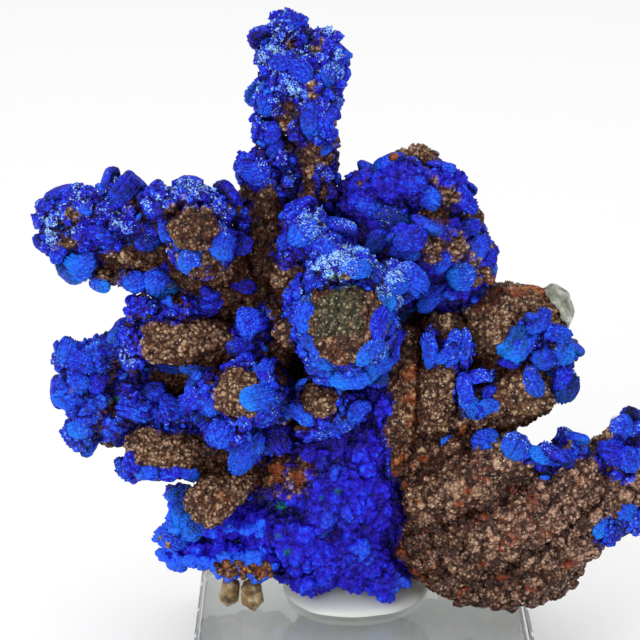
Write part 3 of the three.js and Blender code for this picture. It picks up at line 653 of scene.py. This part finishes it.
# fan, stray and lean are in degrees, and the rest are shares of a lens's own length, width or thickness.
lensShape = {
    "plates": 15, "rings": 7, "around": 5, "fan": 3, "stray": 0.8, "lean": 30, "jag": 0.05, "bend": 0.6,
    "plateWidth": 3.6, "length": 1.03, "thick": 0.62, "swell": 1.15, "proud": 0.2, "azure": 0.9,
}
lensesBehind = {
    "tried": 900, "spacing": 6.0, "count": 130, "halfLength": (2.8, 5), "width": (0.5, 0.7), "thick": 0.7,
}
# Lenses seen from the display side: right, up, half length, half width and roll from level in degrees.
lensPins = [
    # tower
    (-13.5, 121, 4.8, 2, 80), (-10, 121, 5.4, 2.2, 105), (-18.5, 143.5, 3.4, 2, -10),
    (-20, 134, 3.4, 2, 20), (-15.5, 132, 3.6, 2.2, -50), (-24, 124, 3, 2, 60), (-9, 131, 3.4, 2, 70),
    (-26.3, 107.5, 3.6, 2.8, 30), (-22.6, 117.2, 3, 1.9, 80), (-22, 113.4, 2.8, 1.9, 70),
    (-9.5, 114, 2.6, 1.4, 80),
    # left arm and upper left finger
    (-59.4, 103.4, 4.4, 3, 50), (-54, 91.5, 3.4, 3.2, -40), (-70.5, 84.8, 4.3, 3, 0),
    (-65.8, 80, 2.8, 1.6, -10), (-57, 80.8, 3, 2.4, 20), (-52, 81, 3.4, 2.8, 60), (-49.8, 84, 2.4, 1.2, 80),
    (-66, 92.5, 4.4, 2, -15), (-76, 88, 2.8, 1.8, 60), (-43.5, 86.3, 3, 2.4, 30),
    (-35.5, 89.8, 3.6, 2.8, 75), (-30, 90, 2.6, 2, 80), (-49, 94, 3.4, 1.8, 80), (-31, 80.3, 4.6, 1.7, -10),
    (-38.5, 78, 2.8, 1.6, -20), (-39, 75.3, 4.6, 2.6, 20), (-28.5, 71, 4, 3.4, 40), (-31, 65, 4.4, 2.4, 10),
    # left bar and left outer arm
    (-50, 60, 4.8, 2, -5), (-42, 60, 4.6, 2, 10), (-57, 70, 4, 2.4, 50), (-74.5, 64, 3.4, 2.3, 70),
    (-71, 61, 4, 2.6, -20), (-64, 64, 4, 2.6, 20), (-75, 51.5, 3.4, 2.4, 20), (-72, 44, 3, 2.4, 30),
    (-58.5, 49, 4, 2.8, -20), (-53.5, 53, 4, 2.4, 20), (-48.5, 49, 4, 2.8, -30),
    (-43.5, 51.5, 3.4, 2.4, 40), (-61, 41.5, 3, 2, 0), (-67, 56, 3.4, 2.4, 70), (-72, 56, 3.4, 2.4, -60),
    # lower left
    (-59, 35, 3, 2, -60), (-55, 32.8, 3.2, 2, 0), (-49.5, 32.4, 3.6, 2, 10), (-44.5, 32.5, 3, 1.8, -20),
    (-47, 27, 3.2, 2, 10), (-36, 43, 3.8, 3, 65), (-30, 38, 6.4, 3.2, 60), (-28, 42, 5, 2.3, 100),
    (-22, 42, 4.8, 3, 100), (-46, 22, 4, 2.6, 60), (-43, 18, 4, 2.6, 40), (-48.5, 15, 3.6, 2.4, -20),
    # centre
    (-10, 59, 5, 2.4, -25), (-3.5, 56.5, 5, 2.4, 5), (3, 59.5, 4.6, 2.4, 40), (7, 65, 4.4, 2.2, 80),
    (8.6, 73, 4.4, 2, 95), (-15, 72, 4, 2, 80), (-25, 59, 2.8, 2, 40), (-27, 52, 4.6, 3, 10),
    (-38.5, 51.5, 4.4, 2.2, 85), (-35.5, 44.5, 3.2, 2, -40), (-16, 48, 4, 2, -30), (-7, 45, 4.8, 2.2, 5),
    (-1.5, 48.5, 3.6, 2, 50), (-15, 93, 4.2, 2.8, 30), (-19, 91, 4, 2.2, 50), (-9.5, 89, 3.6, 2.2, -30),
    # upper right ball
    (15.5, 101.7, 3.8, 2.6, -20), (6.7, 96.5, 4.8, 3, -15), (11.7, 91.5, 4.8, 2.8, 30),
    (1, 99.2, 3.5, 2.2, 0), (10.5, 82, 6.2, 3.2, -15), (24, 82.5, 3.8, 3.4, 0), (24, 94, 5, 2.1, 5),
    (28, 89, 4.4, 2.3, 60), (30.5, 85.5, 4, 1.8, 60), (17, 77, 5, 2.3, 40), (11.5, 104.7, 4, 2, 0),
    (25, 101, 4, 1.8, -60), (19.5, 85.5, 3, 1.5, 60), (10, 88.5, 4, 1.7, -10), (20.5, 108.5, 1.8, 1.5, 0),
    (3, 91, 3.6, 2.2, 50),
    # centre ring
    (-14.6, 67.5, 4, 1.6, -62), (-11, 61.8, 4, 1.7, -50), (1.5, 63.5, 4.4, 2, 50), (3.8, 70.5, 4.6, 2, 78),
    (5.4, 77, 3.8, 2.4, 105), (-2.5, 84.4, 4.2, 2.2, -12), (-12, 80.5, 4.4, 3.2, 65),
    (-14.6, 74.5, 3.4, 2, 75), (3, 83.2, 3.4, 2.4, -35), (8, 81, 3.4, 2.2, -60),
    # right slab, right finger and inner columns
    (44, 71, 4, 1.9, 50), (48.5, 68.2, 3.8, 2, -15), (39.2, 64.5, 4, 2.5, 60), (45.2, 61.5, 3, 2.4, 20),
    (50, 63.5, 3.4, 2.5, -30), (42.7, 56, 4.2, 2.1, -70), (49.8, 56.5, 4, 1.9, 60), (46.4, 59, 3.2, 2, 70),
    (37, 60.5, 3.4, 1.4, -20), (25.5, 54.5, 4, 1.9, 100), (27, 50, 4, 2, -50), (31.5, 49.5, 3.4, 1.9, 20),
    (31.5, 53, 2.6, 1.5, 60), (28.5, 57.2, 3.4, 1.6, 15), (16.5, 64, 5, 1.7, 95), (20.5, 62.5, 3, 1.4, 30),
    (22.5, 66, 3.4, 1.5, 80), (25.5, 65.5, 4, 1.4, 90),
    # lower right
    (31.5, 40.5, 4, 3, -30), (38.5, 39.5, 3.6, 3.2, 60), (45.5, 37.5, 3.4, 2.3, 20), (51, 41, 3.2, 2.6, 60),
    (52, 36, 3, 2.2, -60), (21, 41.5, 3.2, 1.3, 85), (65.5, 45, 3, 2.4, -20), (63.5, 38, 3.6, 3, 20),
    (67.5, 36, 3.4, 2.6, -60), (61.5, 19, 3.8, 2.2, 65), (67, 23, 3.6, 2.6, -30),
]


def plainValues(length, **given):
    # Every channel for length points: those given, and 0 for the rest.
    return {key: np.clip(given.get(key, 0) + np.zeros(length), 0, 1) for key in channels}


def fanned(axis, other, angle):
    # Turns axis towards other by angle.
    return axis * np.cos(angle)[..., None] + other * np.sin(angle)[..., None]


def tubeFaces(rings, around):
    # Triangles over a closed tube of rings, with a point at each end after the rings.
    ring = np.arange(around)
    after = (ring + 1) % around
    quads = [np.stack([low + ring, low + after, low + around + after, low + around + ring], axis=1)
             for low in around * np.arange(rings - 1)]
    quads = np.concatenate(quads)
    south, north, last = rings * around, rings * around + 1, (rings - 1) * around
    return np.concatenate([quads[:, [0, 1, 2]], quads[:, [0, 2, 3]],
                           np.stack([ring * 0 + south, after, ring], axis=1),
                           np.stack([ring * 0 + north, last + ring, last + after], axis=1)])


def repeated(faces, count, each):
    # The same faces for count shapes, whose points follow each other, each to a shape.
    return (faces[None] + (np.arange(count) * each)[:, None, None]).reshape(-1, 3)


def lensArrays(centres, along, outward, halfLength, halfWidth, halfThick, seed):
    # Lens-shaped rosettes: each is a fan of thin plates side by side, at t from -1 to 1 across it. A plate is
    # a flattened ellipsoid, u along it and v round it, blunt at its ends, with a ragged crest. Plates get
    # shorter, lower and more tilted with t squared and t.
    plates, rings, around = lensShape["plates"], lensShape["rings"], lensShape["around"]
    count = len(centres)
    random = np.random.default_rng(seed)
    t = np.linspace(-1, 1, plates)[None, :] + random.normal(0, 0.05, (count, plates))
    side = np.cross(outward, along)
    alongs, outwards, sides = (axis[:, None, :] + 0 * t[..., None] for axis in (along, outward, side))
    fan = np.radians(lensShape["fan"]) * t + np.radians(lensShape["stray"]) * random.normal(0, 1, t.shape)
    lean = np.radians(lensShape["lean"]) * t
    alongs, sides = fanned(alongs, sides, fan), fanned(sides, -alongs, fan)
    outwards, sides = fanned(outwards, sides, lean), fanned(sides, -outwards, lean)
    length = halfLength[:, None] * np.sqrt(1 - 0.6 * t**2) * random.uniform(0.97, 1.02, t.shape)
    height = halfThick[:, None] * np.sqrt(1 - 0.5 * t**2) * random.uniform(0.93, 1.04, t.shape)
    width = lensShape["plateWidth"] * halfWidth[:, None] / plates * random.uniform(0.85, 1.2, t.shape)
    middle = centres[:, None, :] + side[:, None, :] * (0.8 * halfWidth[:, None] * t)[..., None]
    middle = middle - outward[:, None, :] * (0.45 * halfThick[:, None] * t**2)[..., None]
    middle = middle + alongs * (0.03 * halfLength[:, None] * random.normal(0, 1, t.shape))[..., None]
    u = np.sin(np.linspace(-math.pi / 2, math.pi / 2, rings + 2)[1:-1])[:, None]
    v = (np.arange(around) / around * 2 * math.pi)[None, :]
    girth = np.sqrt(1 - u**4) * (1 + lensShape["jag"] * random.normal(0, 1, (count, plates, rings, around)))
    axes = (alongs, sides, outwards)
    amounts = (length[..., None, None] * (u + 0 * girth), width[..., None, None] * girth * np.cos(v),
               height[..., None, None] * girth * np.sin(v))
    body = sum(amount[..., None] * axis[:, :, None, None, :] for amount, axis in zip(amounts, axes))
    bend = random.uniform(-1, 1, (count, 1, 1, 1)) * lensShape["bend"] * halfWidth[:, None, None, None]
    bend = bend * (u**2 - 0.3)
    body = body + bend[..., None] * side[:, None, None, None, :]
    ends = np.stack([-alongs, alongs], axis=2) * length[..., None, None]
    ends = ends + bend.max(axis=2)[..., None] * side[:, None, None, :]
    points = middle[:, :, None, :] + np.concatenate([body.reshape(count, plates, -1, 3), ends], axis=2)
    triangles = repeated(tubeFaces(rings, around), count * plates, points.shape[2])
    each = plates * points.shape[2]
    # Painted shade and highlight: each plate is painted lighter on its outward side and darker on its inner side,
    # with random tones per point, plate and lens.
    crest = np.sin(v) + 0 * girth
    relief = 0.4 + 0.33 * crest + 0.07 * random.normal(0, 1, girth.shape)
    relief = relief + 0.06 * random.normal(0, 1, (count, plates, 1, 1))
    relief = relief + random.uniform(-0.12, 0.12, (count, 1, 1, 1))
    # Painted light: each lens is painted lighter azure towards its lower end, on top of its own azure.
    lower = np.where(along[:, 2] < 0, 1, -1)[:, None, None, None] * u
    bright = random.uniform(0, 0.5, (count, 1, 1, 1)) + painted("azure", centres)[:, None, None, None]
    azure = lensShape["azure"] * bright * (0.3 + 0.7 * smoothStep(-0.3, 0.9, lower))
    azure = azure + 0.1 * (random.random(girth.shape) > 0.9)
    # Painted glints towards each lens's upper end, on the outward side of its plates.
    glitter = random.uniform(-0.3, 0.3, (count, 1, 1, 1)) + painted("spark", centres)[:, None, None, None]
    spark = 0.6 * glitter * smoothStep(-0.6, 0.6, -lower) * smoothStep(0, 0.8, crest)
    values = {}
    for key, amount in (("relief", relief), ("azure", azure + 0 * crest), ("spark", spark + 0 * crest)):
        grid = amount.reshape(count, plates, -1)
        values[key] = np.clip(np.concatenate([grid, grid[:, :, [0, -1]]], axis=2), 0, 1).ravel()
    # Painted shade under the dusk pins and in shadowed clefts.
    values["relief"] *= 1 - 0.45 * np.repeat(painted("dusk", centres), each)
    values = plainValues(len(values["relief"]), cover=1, **values)
    points = points.reshape(-1, 3)
    values["relief"] *= 1 - 0.6 * shadowed(points, np.repeat(outward, each, axis=0))
    return points, triangles, values


hits = [pinned(right, up) for right, up, *_ in lensPins]
pins = np.array(lensPins, dtype=float)
acrossView = np.array([1.0, 0, 0])
upView = np.cross(acrossView, lookAlong)
roll = np.radians(pins[:, 4:5])
rolled = np.cos(roll) * acrossView + np.sin(roll) * upView
normals = np.array([normal for _, normal in hits])
outward = unit(normals * 0.6 - lookAlong)
along = unit(rolled - outward * np.sum(rolled * outward, axis=1, keepdims=True))
thick = pins[:, 3] * lensShape["thick"]
centres = np.array([hit for hit, _ in hits]) + outward * (thick * lensShape["proud"])[:, None]
points, faces, carried = lensArrays(centres, along, outward, pins[:, 2] * lensShape["length"], pins[:, 3],
                                    thick * lensShape["swell"], 51)
buildMesh("azurite_lenses_front", points, faces, carried, drusyCrust)
print("lenses in front:", len(pins), "triangles:", len(faces))


def spread(candidates, spacing):
    # Keeps those candidates that stand at least spacing from every one kept before.
    kept = []
    for candidate in candidates:
        gaps = np.linalg.norm(allPoints[kept] - allPoints[candidate], axis=1) if kept else np.array([spacing])
        if gaps.min() >= spacing:
            kept.append(candidate)
    return np.array(kept)


# The unseen sides carry lenses of the same sizes, well apart.
away = np.flatnonzero(onAzurite & (allNormals[:, 1] > 0.3) & (shadow < 0.5) & (softness < 0.9))
tried = rng.choice(away, lensesBehind["tried"], replace=False)
seeds = spread(tried, lensesBehind["spacing"])[: lensesBehind["count"]]
outward = unit(allNormals[seeds])
along = unit(np.cross(outward, rng.normal(0, 1, outward.shape)))
halfLength = rng.uniform(*lensesBehind["halfLength"], len(seeds))
halfWidth = halfLength * rng.uniform(*lensesBehind["width"], len(seeds))
points, faces, carried = lensArrays(allPoints[seeds], along, outward, halfLength, halfWidth,
                                    halfWidth * lensesBehind["thick"], 52)
buildMesh("azurite_lenses_behind", points, faces, carried, drusyCrust)
print("lenses behind:", len(seeds), "triangles:", len(faces))

# Small lenses and blades scattered over the crusts. Sizes are half lengths, tilt is how far they stray from
# upright, and sunk is how deep their middles sit.
scattered = {
    "lenslets": {"count": 900, "size": (0.9, 2.2), "tilt": 0.5, "sunk": 0.1},
    "blades": {"count": 20000, "size": (0.35, 0.75), "tilt": 0.6, "stretch": 1.0},
    "grains": {"count": 20000, "size": (0.3, 0.6), "tilt": 0.8, "stretch": 0.85},
    "pebbles": {"count": 1400, "size": (0.8, 2.1), "tilt": 0.4, "sunk": 0.2, "width": 0.85, "thick": 0.7},
}


def lensletArrays(centres, along, outward, size, seed, width=0.62, thick=0.45):
    # Small lenses of a few dozen faces: four rings of eight on an ellipsoid, with pointed ends.
    rings, around = 4, 8
    u = np.sin(np.linspace(-math.pi / 2, math.pi / 2, rings + 2)[1:-1])[None, :, None]
    v = (np.arange(around) / around * 2 * math.pi)[None, None, :]
    side = np.cross(outward, along)
    count = len(centres)
    random = np.random.default_rng(seed)
    girth = np.sqrt(1 - u**2) * (1 + 0.12 * random.normal(0, 1, (count, rings, around)))
    axes = (along, side, outward)
    amounts = (u + 0 * girth, width * girth * np.cos(v), thick * girth * np.sin(v))
    body = sum((amount * size[:, None, None])[..., None] * axis[:, None, None, :]
               for amount, axis in zip(amounts, axes))
    ends = np.stack([-along, along], axis=1) * size[:, None, None]
    points = centres[:, None, :] + np.concatenate([body.reshape(count, -1, 3), ends], axis=1)
    return points.reshape(-1, 3), repeated(tubeFaces(rings, around), count, points.shape[1])


def bladeArrays(centres, along, outward, size, stretch):
    # Blades: stretched eight-sided bipyramids, long along one axis, half as wide and thin across.
    side = np.cross(outward, along)
    axes = [(along, stretch), (side, 0.55), (outward, 0.3)]
    points = [centres + sign * axis * (share * size)[:, None] for axis, share in axes for sign in (1, -1)]
    points = np.stack(points, axis=1)
    faces = np.array([[a, b, c] if (a + b + c) % 2 == 0 else [a, c, b]
                      for a in (0, 1) for b in (2, 3) for c in (4, 5)])
    return points.reshape(-1, 3), repeated(faces, len(centres), points.shape[1])


def scatter(weights, spec, seed):
    # Picks points of the skins at random, by weight. Each gets an outward axis near the normal, an axis along
    # it and a size.
    random = np.random.default_rng(seed)
    weights = weights + 1e-12
    chosen = random.choice(len(allPoints), spec["count"], replace=False, p=weights / weights.sum())
    outward = unit(allNormals[chosen] + random.normal(0, spec["tilt"], (len(chosen), 3)))
    along = unit(np.cross(outward, random.normal(0, 1, (len(chosen), 3))))
    return chosen, outward, along, rng.uniform(*spec["size"], len(chosen))


blue = cover > 0.6
spec = scattered["lenslets"]
weights = blue * smoothStep(0.3, 0.7, allShadeAndTone) * (1 - 0.97 * softness)
chosen, outward, along, size = scatter(weights, spec, 61)
points, faces = lensletArrays(allPoints[chosen] - outward * spec["sunk"], along, outward, size, 62)
each = len(points) // len(chosen)
shade = np.repeat(rng.uniform(0.35, 0.8, len(chosen)), each) + rng.normal(0, 0.12, len(points))
light = np.repeat(rng.uniform(0, 1, len(chosen)) ** 3, each)
carried = plainValues(len(points), relief=shade, cover=1, azure=0.6 * light)
buildMesh("azurite_lenslets", points, faces, carried, drusyCrust)

spec = scattered["blades"]
weights = blue * smoothStep(0.35, 0.7, allShadeAndTone) * (1 - 0.9 * softness)
chosen, outward, along, size = scatter(weights, spec, 63)
points, faces = bladeArrays(allPoints[chosen], along, outward, size, spec["stretch"])
each = len(points) // len(chosen)
shade = np.repeat(rng.uniform(0.3, 0.95, len(chosen)), each) * np.repeat(1 - 0.8 * shadow[chosen], each)
glint = np.repeat(values["spark"][chosen], each)
light = np.repeat(rng.uniform(0, 1, len(chosen)) ** 4, each)
carried = plainValues(len(points), relief=shade, cover=1, azure=0.5 * light, spark=glint)
buildMesh("azurite_blades", points, faces, carried, drusyCrust, False)

spec = scattered["grains"]
weights = (cover < 0.3) * smoothStep(0.3, 0.6, allShadeAndTone)
chosen, outward, along, size = scatter(weights, spec, 64)
points, faces = bladeArrays(allPoints[chosen], along, outward, size, spec["stretch"])
shade = np.repeat(rng.uniform(0.1, 0.6, len(chosen)), each) * np.repeat(1 - 0.85 * shadow[chosen], each)
redness = np.repeat(rng.random(len(chosen)) > 0.93, each) * 0.8
carried = plainValues(len(points), relief=shade, rust=redness, mauve=np.repeat(lowerRight[chosen], each))
buildMesh("goethite_grains", points, faces, carried, drusyCrust, False)

# Pebbles: botryoidal lumps over the lower right, thickest low down and in the clefts between the ridges.
spec = scattered["pebbles"]
low = smoothStep(4, 12, allPoints[:, 0]) * smoothStep(62, 40, allPoints[:, 2])
low = low * (cover < 0.3) * (allNormals[:, 1] < 0.5)
weights = low * (0.15 + shadow + smoothStep(45, 25, allPoints[:, 2]))
chosen, outward, along, size = scatter(weights, spec, 65)
points, faces = lensletArrays(allPoints[chosen] - outward * spec["sunk"], along, outward, size, 66,
                              spec["width"], spec["thick"])
each = len(points) // len(chosen)
shade = np.repeat(rng.uniform(0.25, 0.55, len(chosen)) * (1 - 0.6 * shadow[chosen]), each)
shade = shade + rng.normal(0, 0.05, len(points))
redness = np.repeat(rng.random(len(chosen)) > 0.92, each) * 0.7
carried = plainValues(len(points), relief=shade, rust=redness, mauve=np.repeat(lowerRight[chosen], each))
buildMesh("goethite_pebbles", points, faces, carried, drusyCrust)
print("scattered lenses, blades, grains and pebbles")

# Base


blockShape = {"bevel": 1.2, "segments": 3}
# The pad's rim and mound are heights, inset draws it in, and waves are how its outline wanders: turns, share
# of the radius and phase.
padShape = {"rim": 2.4, "mound": 3.2, "inset": 0.97, "waves": ((3, 0.02, 1), (5, 0.012, 0), (11, 0.006, 0))}


def addBlock():
    # Cast and flame-polished acrylic: clear, with rounded edges that catch the light.
    low, high = (np.array(corner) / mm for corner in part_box("display_block"))
    ends = np.array([low, high])
    corners = np.array([[x, y, z] for x in ends[:, 0] for y in ends[:, 1] for z in ends[:, 2]])
    faces = np.array([[0, 1, 3, 2], [4, 6, 7, 5], [0, 4, 5, 1], [2, 3, 7, 6], [0, 2, 6, 4], [1, 5, 7, 3]])
    material, _, _ = newMaterial("polished clear acrylic", Base_Color=linear("#fafdfb"), Roughness=0.02,
                                 IOR=1.49, Transmission_Weight=1)
    block = buildMesh("acrylic_block", corners, faces, {}, material, False)
    bevel = block.modifiers.new("rounded edges", "BEVEL")
    bevel.width = blockShape["bevel"] * mm
    bevel.segments = blockShape["segments"]
    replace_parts(block, "display_block")


def addPad():
    # A puddle of silicone, soft and milky: round the middle by angle, and from the top's middle over the rim
    # to the underside's middle by share. Its radius wanders as sine waves, and its rim is a rounded bead.
    low, high = (np.array(corner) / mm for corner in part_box("silicone_pad"))
    centre, radius = (low + high) / 2, (high - low)[:2] / 2
    angle = np.linspace(0, 2 * math.pi, 120, endpoint=False)[None, :]
    rimShares = 0.9 + 0.1 * np.sin(np.linspace(0.1, math.pi / 2, 10))
    share = np.concatenate([np.linspace(0.02, 0.9, 16), rimShares])[:, None]
    wander = 1 + sum(size * np.sin(turns * angle + phase) for turns, size, phase in padShape["waves"])
    top = padShape["rim"] * np.sqrt(np.clip(1 - share**8, 0, 1)) + padShape["mound"] * (1 - share**2) ** 2
    rows = []
    for out, height in ((share, top), (share[::-1], 0 * share)):
        reach = padShape["inset"] * out * wander
        rows.append(np.stack([centre[0] + radius[0] * reach * np.cos(angle),
                              centre[1] + radius[1] * reach * np.sin(angle),
                              low[2] + height + 0 * angle], axis=-1))
    rings = np.concatenate(rows)
    points = np.concatenate([rings.reshape(-1, 3), rings[[0, -1]].mean(axis=1)])
    faces = tubeFaces(*rings.shape[:2])[:, ::-1]
    material, _, _ = newMaterial("translucent silicone sealant", Base_Color=linear("#eceee8"), Roughness=0.3,
                                 IOR=1.41, Transmission_Weight=0.2)
    pad = buildMesh("silicone_puddle", points, faces, {}, material)
    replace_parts(pad, "silicone_pad")


# stops are the cloud's colours from dark to light, cloud is its size, and bulge is how uneven the faces are.
quartzPieces = [
    {"nodes": ["quartz_crystal_left", "quartz_crystal_right"], "material": "iron-stained quartz crystal",
     "stops": ["#38260f", "#765a32", "#a4895c", "#d6cab0"], "cloud": 2.2,
     "grow": -0.1, "voxel": 0.35, "bulge": 0.5, "smoothing": 4},
    {"nodes": ["quartz_slab_rim"], "material": "frosted quartz rim",
     "stops": ["#5c5f50", "#8b8e7c", "#aeb2a2", "#dcdfd2"], "cloud": 2.5,
     "grow": 0.0, "voxel": 0.35, "bulge": 0.9, "smoothing": 16},
]


def quartzMaterial(look):
    # Quartz: pale and glassy, clouded, with a frosted and iron-stained skin.
    material, tree, shader = newMaterial(look["material"], Roughness=0.28, IOR=1.54, Transmission_Weight=0.15)
    spot = addNode(tree, "ShaderNodeTexCoord").outputs["Object"]

    def noise(size, detail):
        return addNode(tree, "ShaderNodeTexNoise", None, {"Vector": spot}, Scale=1 / (size * mm),
                       Detail=detail).outputs["Fac"]

    node = addNode(tree, "ShaderNodeValToRGB", None, {"Fac": noise(look["cloud"], 5.0)})
    for _ in look["stops"][2:]:
        node.color_ramp.elements.new(1)
    for element, position, colour in zip(node.color_ramp.elements, (0.32, 0.45, 0.58, 0.72), look["stops"]):
        element.position = position
        element.color = linear(colour)
    tree.links.new(node.outputs["Color"], shader.inputs["Base Color"])
    pits = noise(0.5, 3.0)
    bump = addNode(tree, "ShaderNodeBump", None, {"Height": pits}, Strength=0.5, Distance=0.25 * mm)
    tree.links.new(bump.outputs["Normal"], shader.inputs["Normal"])
    return material


def addQuartz(look):
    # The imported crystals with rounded, uneven faces.
    material = quartzMaterial(look)
    for node in look["nodes"]:
        points, normals, faces = grownCopy(node, look["grow"], look["voxel"], look["smoothing"])
        height = look["bulge"] * (0.5 * softNoise(points, 2.4, 71) + 0.4 * domes(points, 1.6, 72)[0] - 0.2)
        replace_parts(buildMesh(node + "_surface", points + normals * height[:, None], faces, {}, material), node)


# Knobs of rock: right, up, half length and how rusty. The orange ones are limonite, which the quartz
# crystals hang from.
knobPins = [
    (-36.5, 7, 1.6, 0.5), (-35.2, 8.4, 1.4, 0.9), (-33.2, 6.8, 1.7, 0.6), (-31, 7.6, 1.6, 0.9),
    (-28.6, 7.4, 1.8, 0.8), (-26.4, 6.6, 1.9, 1), (-25.2, 8.2, 1.5, 0.7), (-30.8, 5.6, 1.4, 0.5),
    (-23.8, 5.8, 1.1, 0.9), (-34.4, 5.6, 1.2, 0.4), (-27, 4.8, 1.1, 0.8), (-32.2, 8.8, 1.1, 0.3),
    (-37.6, 8.4, 1, 0.3), (-24, 7.4, 0.9, 0.4), (52.6, 66, 1.3, 0.9), (53, 64.4, 1.1, 0.7),
    (7, 111.4, 1.3, 1), (8.3, 112.2, 1.2, 0.5), (26.5, 97.8, 2.2, 0.1), (28.2, 97, 1.8, 0.2),
    (30, 83.5, 2, 0.3), (31, 81.8, 1.8, 0.5), (27.6, 81, 1.6, 0.2), (-51.5, 15.5, 1.2, 0.4),
    (-50, 13.8, 1.3, 0.6),
]


def addKnobs():
    # Lenslets nearly as wide and thick as they are long, each point moved by soft noise along every axis.
    hits = np.array([pinned(right, up)[0] for right, up, _, _ in knobPins])
    size = np.array([size for _, _, size, _ in knobPins])
    turns = unit(np.random.default_rng(81).normal(0, 1, hits.shape))
    outward = np.broadcast_to(-lookAlong, hits.shape)
    along = unit(np.cross(outward, turns))
    points, faces = lensletArrays(hits, along, outward, size, 82, 0.8, 0.8)
    points = points + 0.35 * np.stack([softNoise(points, 1.6, seed) for seed in (85, 86, 87)], axis=-1)
    relief = 0.45 + 0.25 * softNoise(points, 1.5, 83)
    rust = np.repeat([rust for _, _, _, rust in knobPins], len(points) // len(hits))
    rust = rust * (0.65 + 0.6 * softNoise(points, 1.2, 84))
    buildMesh("rock_knobs", points, faces, plainValues(len(points), relief=relief, rust=rust), drusyCrust)


addKnobs()
addBlock()
addPad()
for look in quartzPieces:
    addQuartz(look)
print("knobs, block, pad and quartz")

# Studio


def addFloor():
    # Matt white paper, so pale that only soft shadows show on it.
    bpy.ops.mesh.primitive_plane_add(size=8)
    floor = bpy.context.object
    floor.name = "studio_floor"
    floor.location.z = -0.05 * mm
    paper, _, _ = newMaterial("matt white paper", Base_Color=linear("#fbfbfb"), Roughness=0.9)
    floor.data.materials.append(paper)


def addSoftbox(name, position, target, size, power):
    # A soft white light. Places and sizes in millimetres.
    light = bpy.data.lights.new(name, "AREA")
    light.shape = "SQUARE"
    light.size = size * mm
    light.energy = power
    lamp = bpy.data.objects.new(name, light)
    lamp.location = Vector(position) * mm
    lamp.rotation_euler = (Vector(target) - Vector(position)).to_track_quat("-Z", "Y").to_euler()
    bpy.context.scene.collection.objects.link(lamp)


addFloor()
addSoftbox("softbox_top", (-100, 300, 1600), (0, 300, 0), 2500, 12)
addSoftbox("softbox_key", (-350, -550, 330), (0, 0, 90), 300, 1.6)
addSoftbox("softbox_low", (100, -480, 60), (0, 0, 60), 260, 0.4)

camera = bpy.data.cameras.new("display camera")
camera.sensor_width = 36
camera.lens = camera.sensor_width * view["distance"] / view["width"]
camera.clip_end = 10
cameraObject = bpy.data.objects.new("display camera", camera)
cameraObject.location = eye * mm
cameraObject.rotation_euler = Vector(lookAlong).to_track_quat("-Z", "Y").to_euler()
bpy.context.scene.collection.objects.link(cameraObject)
bpy.context.scene.camera = cameraObject

world = bpy.data.worlds.new("studio")
world.use_nodes = True
background = world.node_tree.nodes["Background"]
background.inputs["Color"].default_value = (1, 1, 1, 1)
background.inputs["Strength"].default_value = 0.75
bpy.context.scene.world = world
bpy.context.scene.view_settings.view_transform = "Standard"
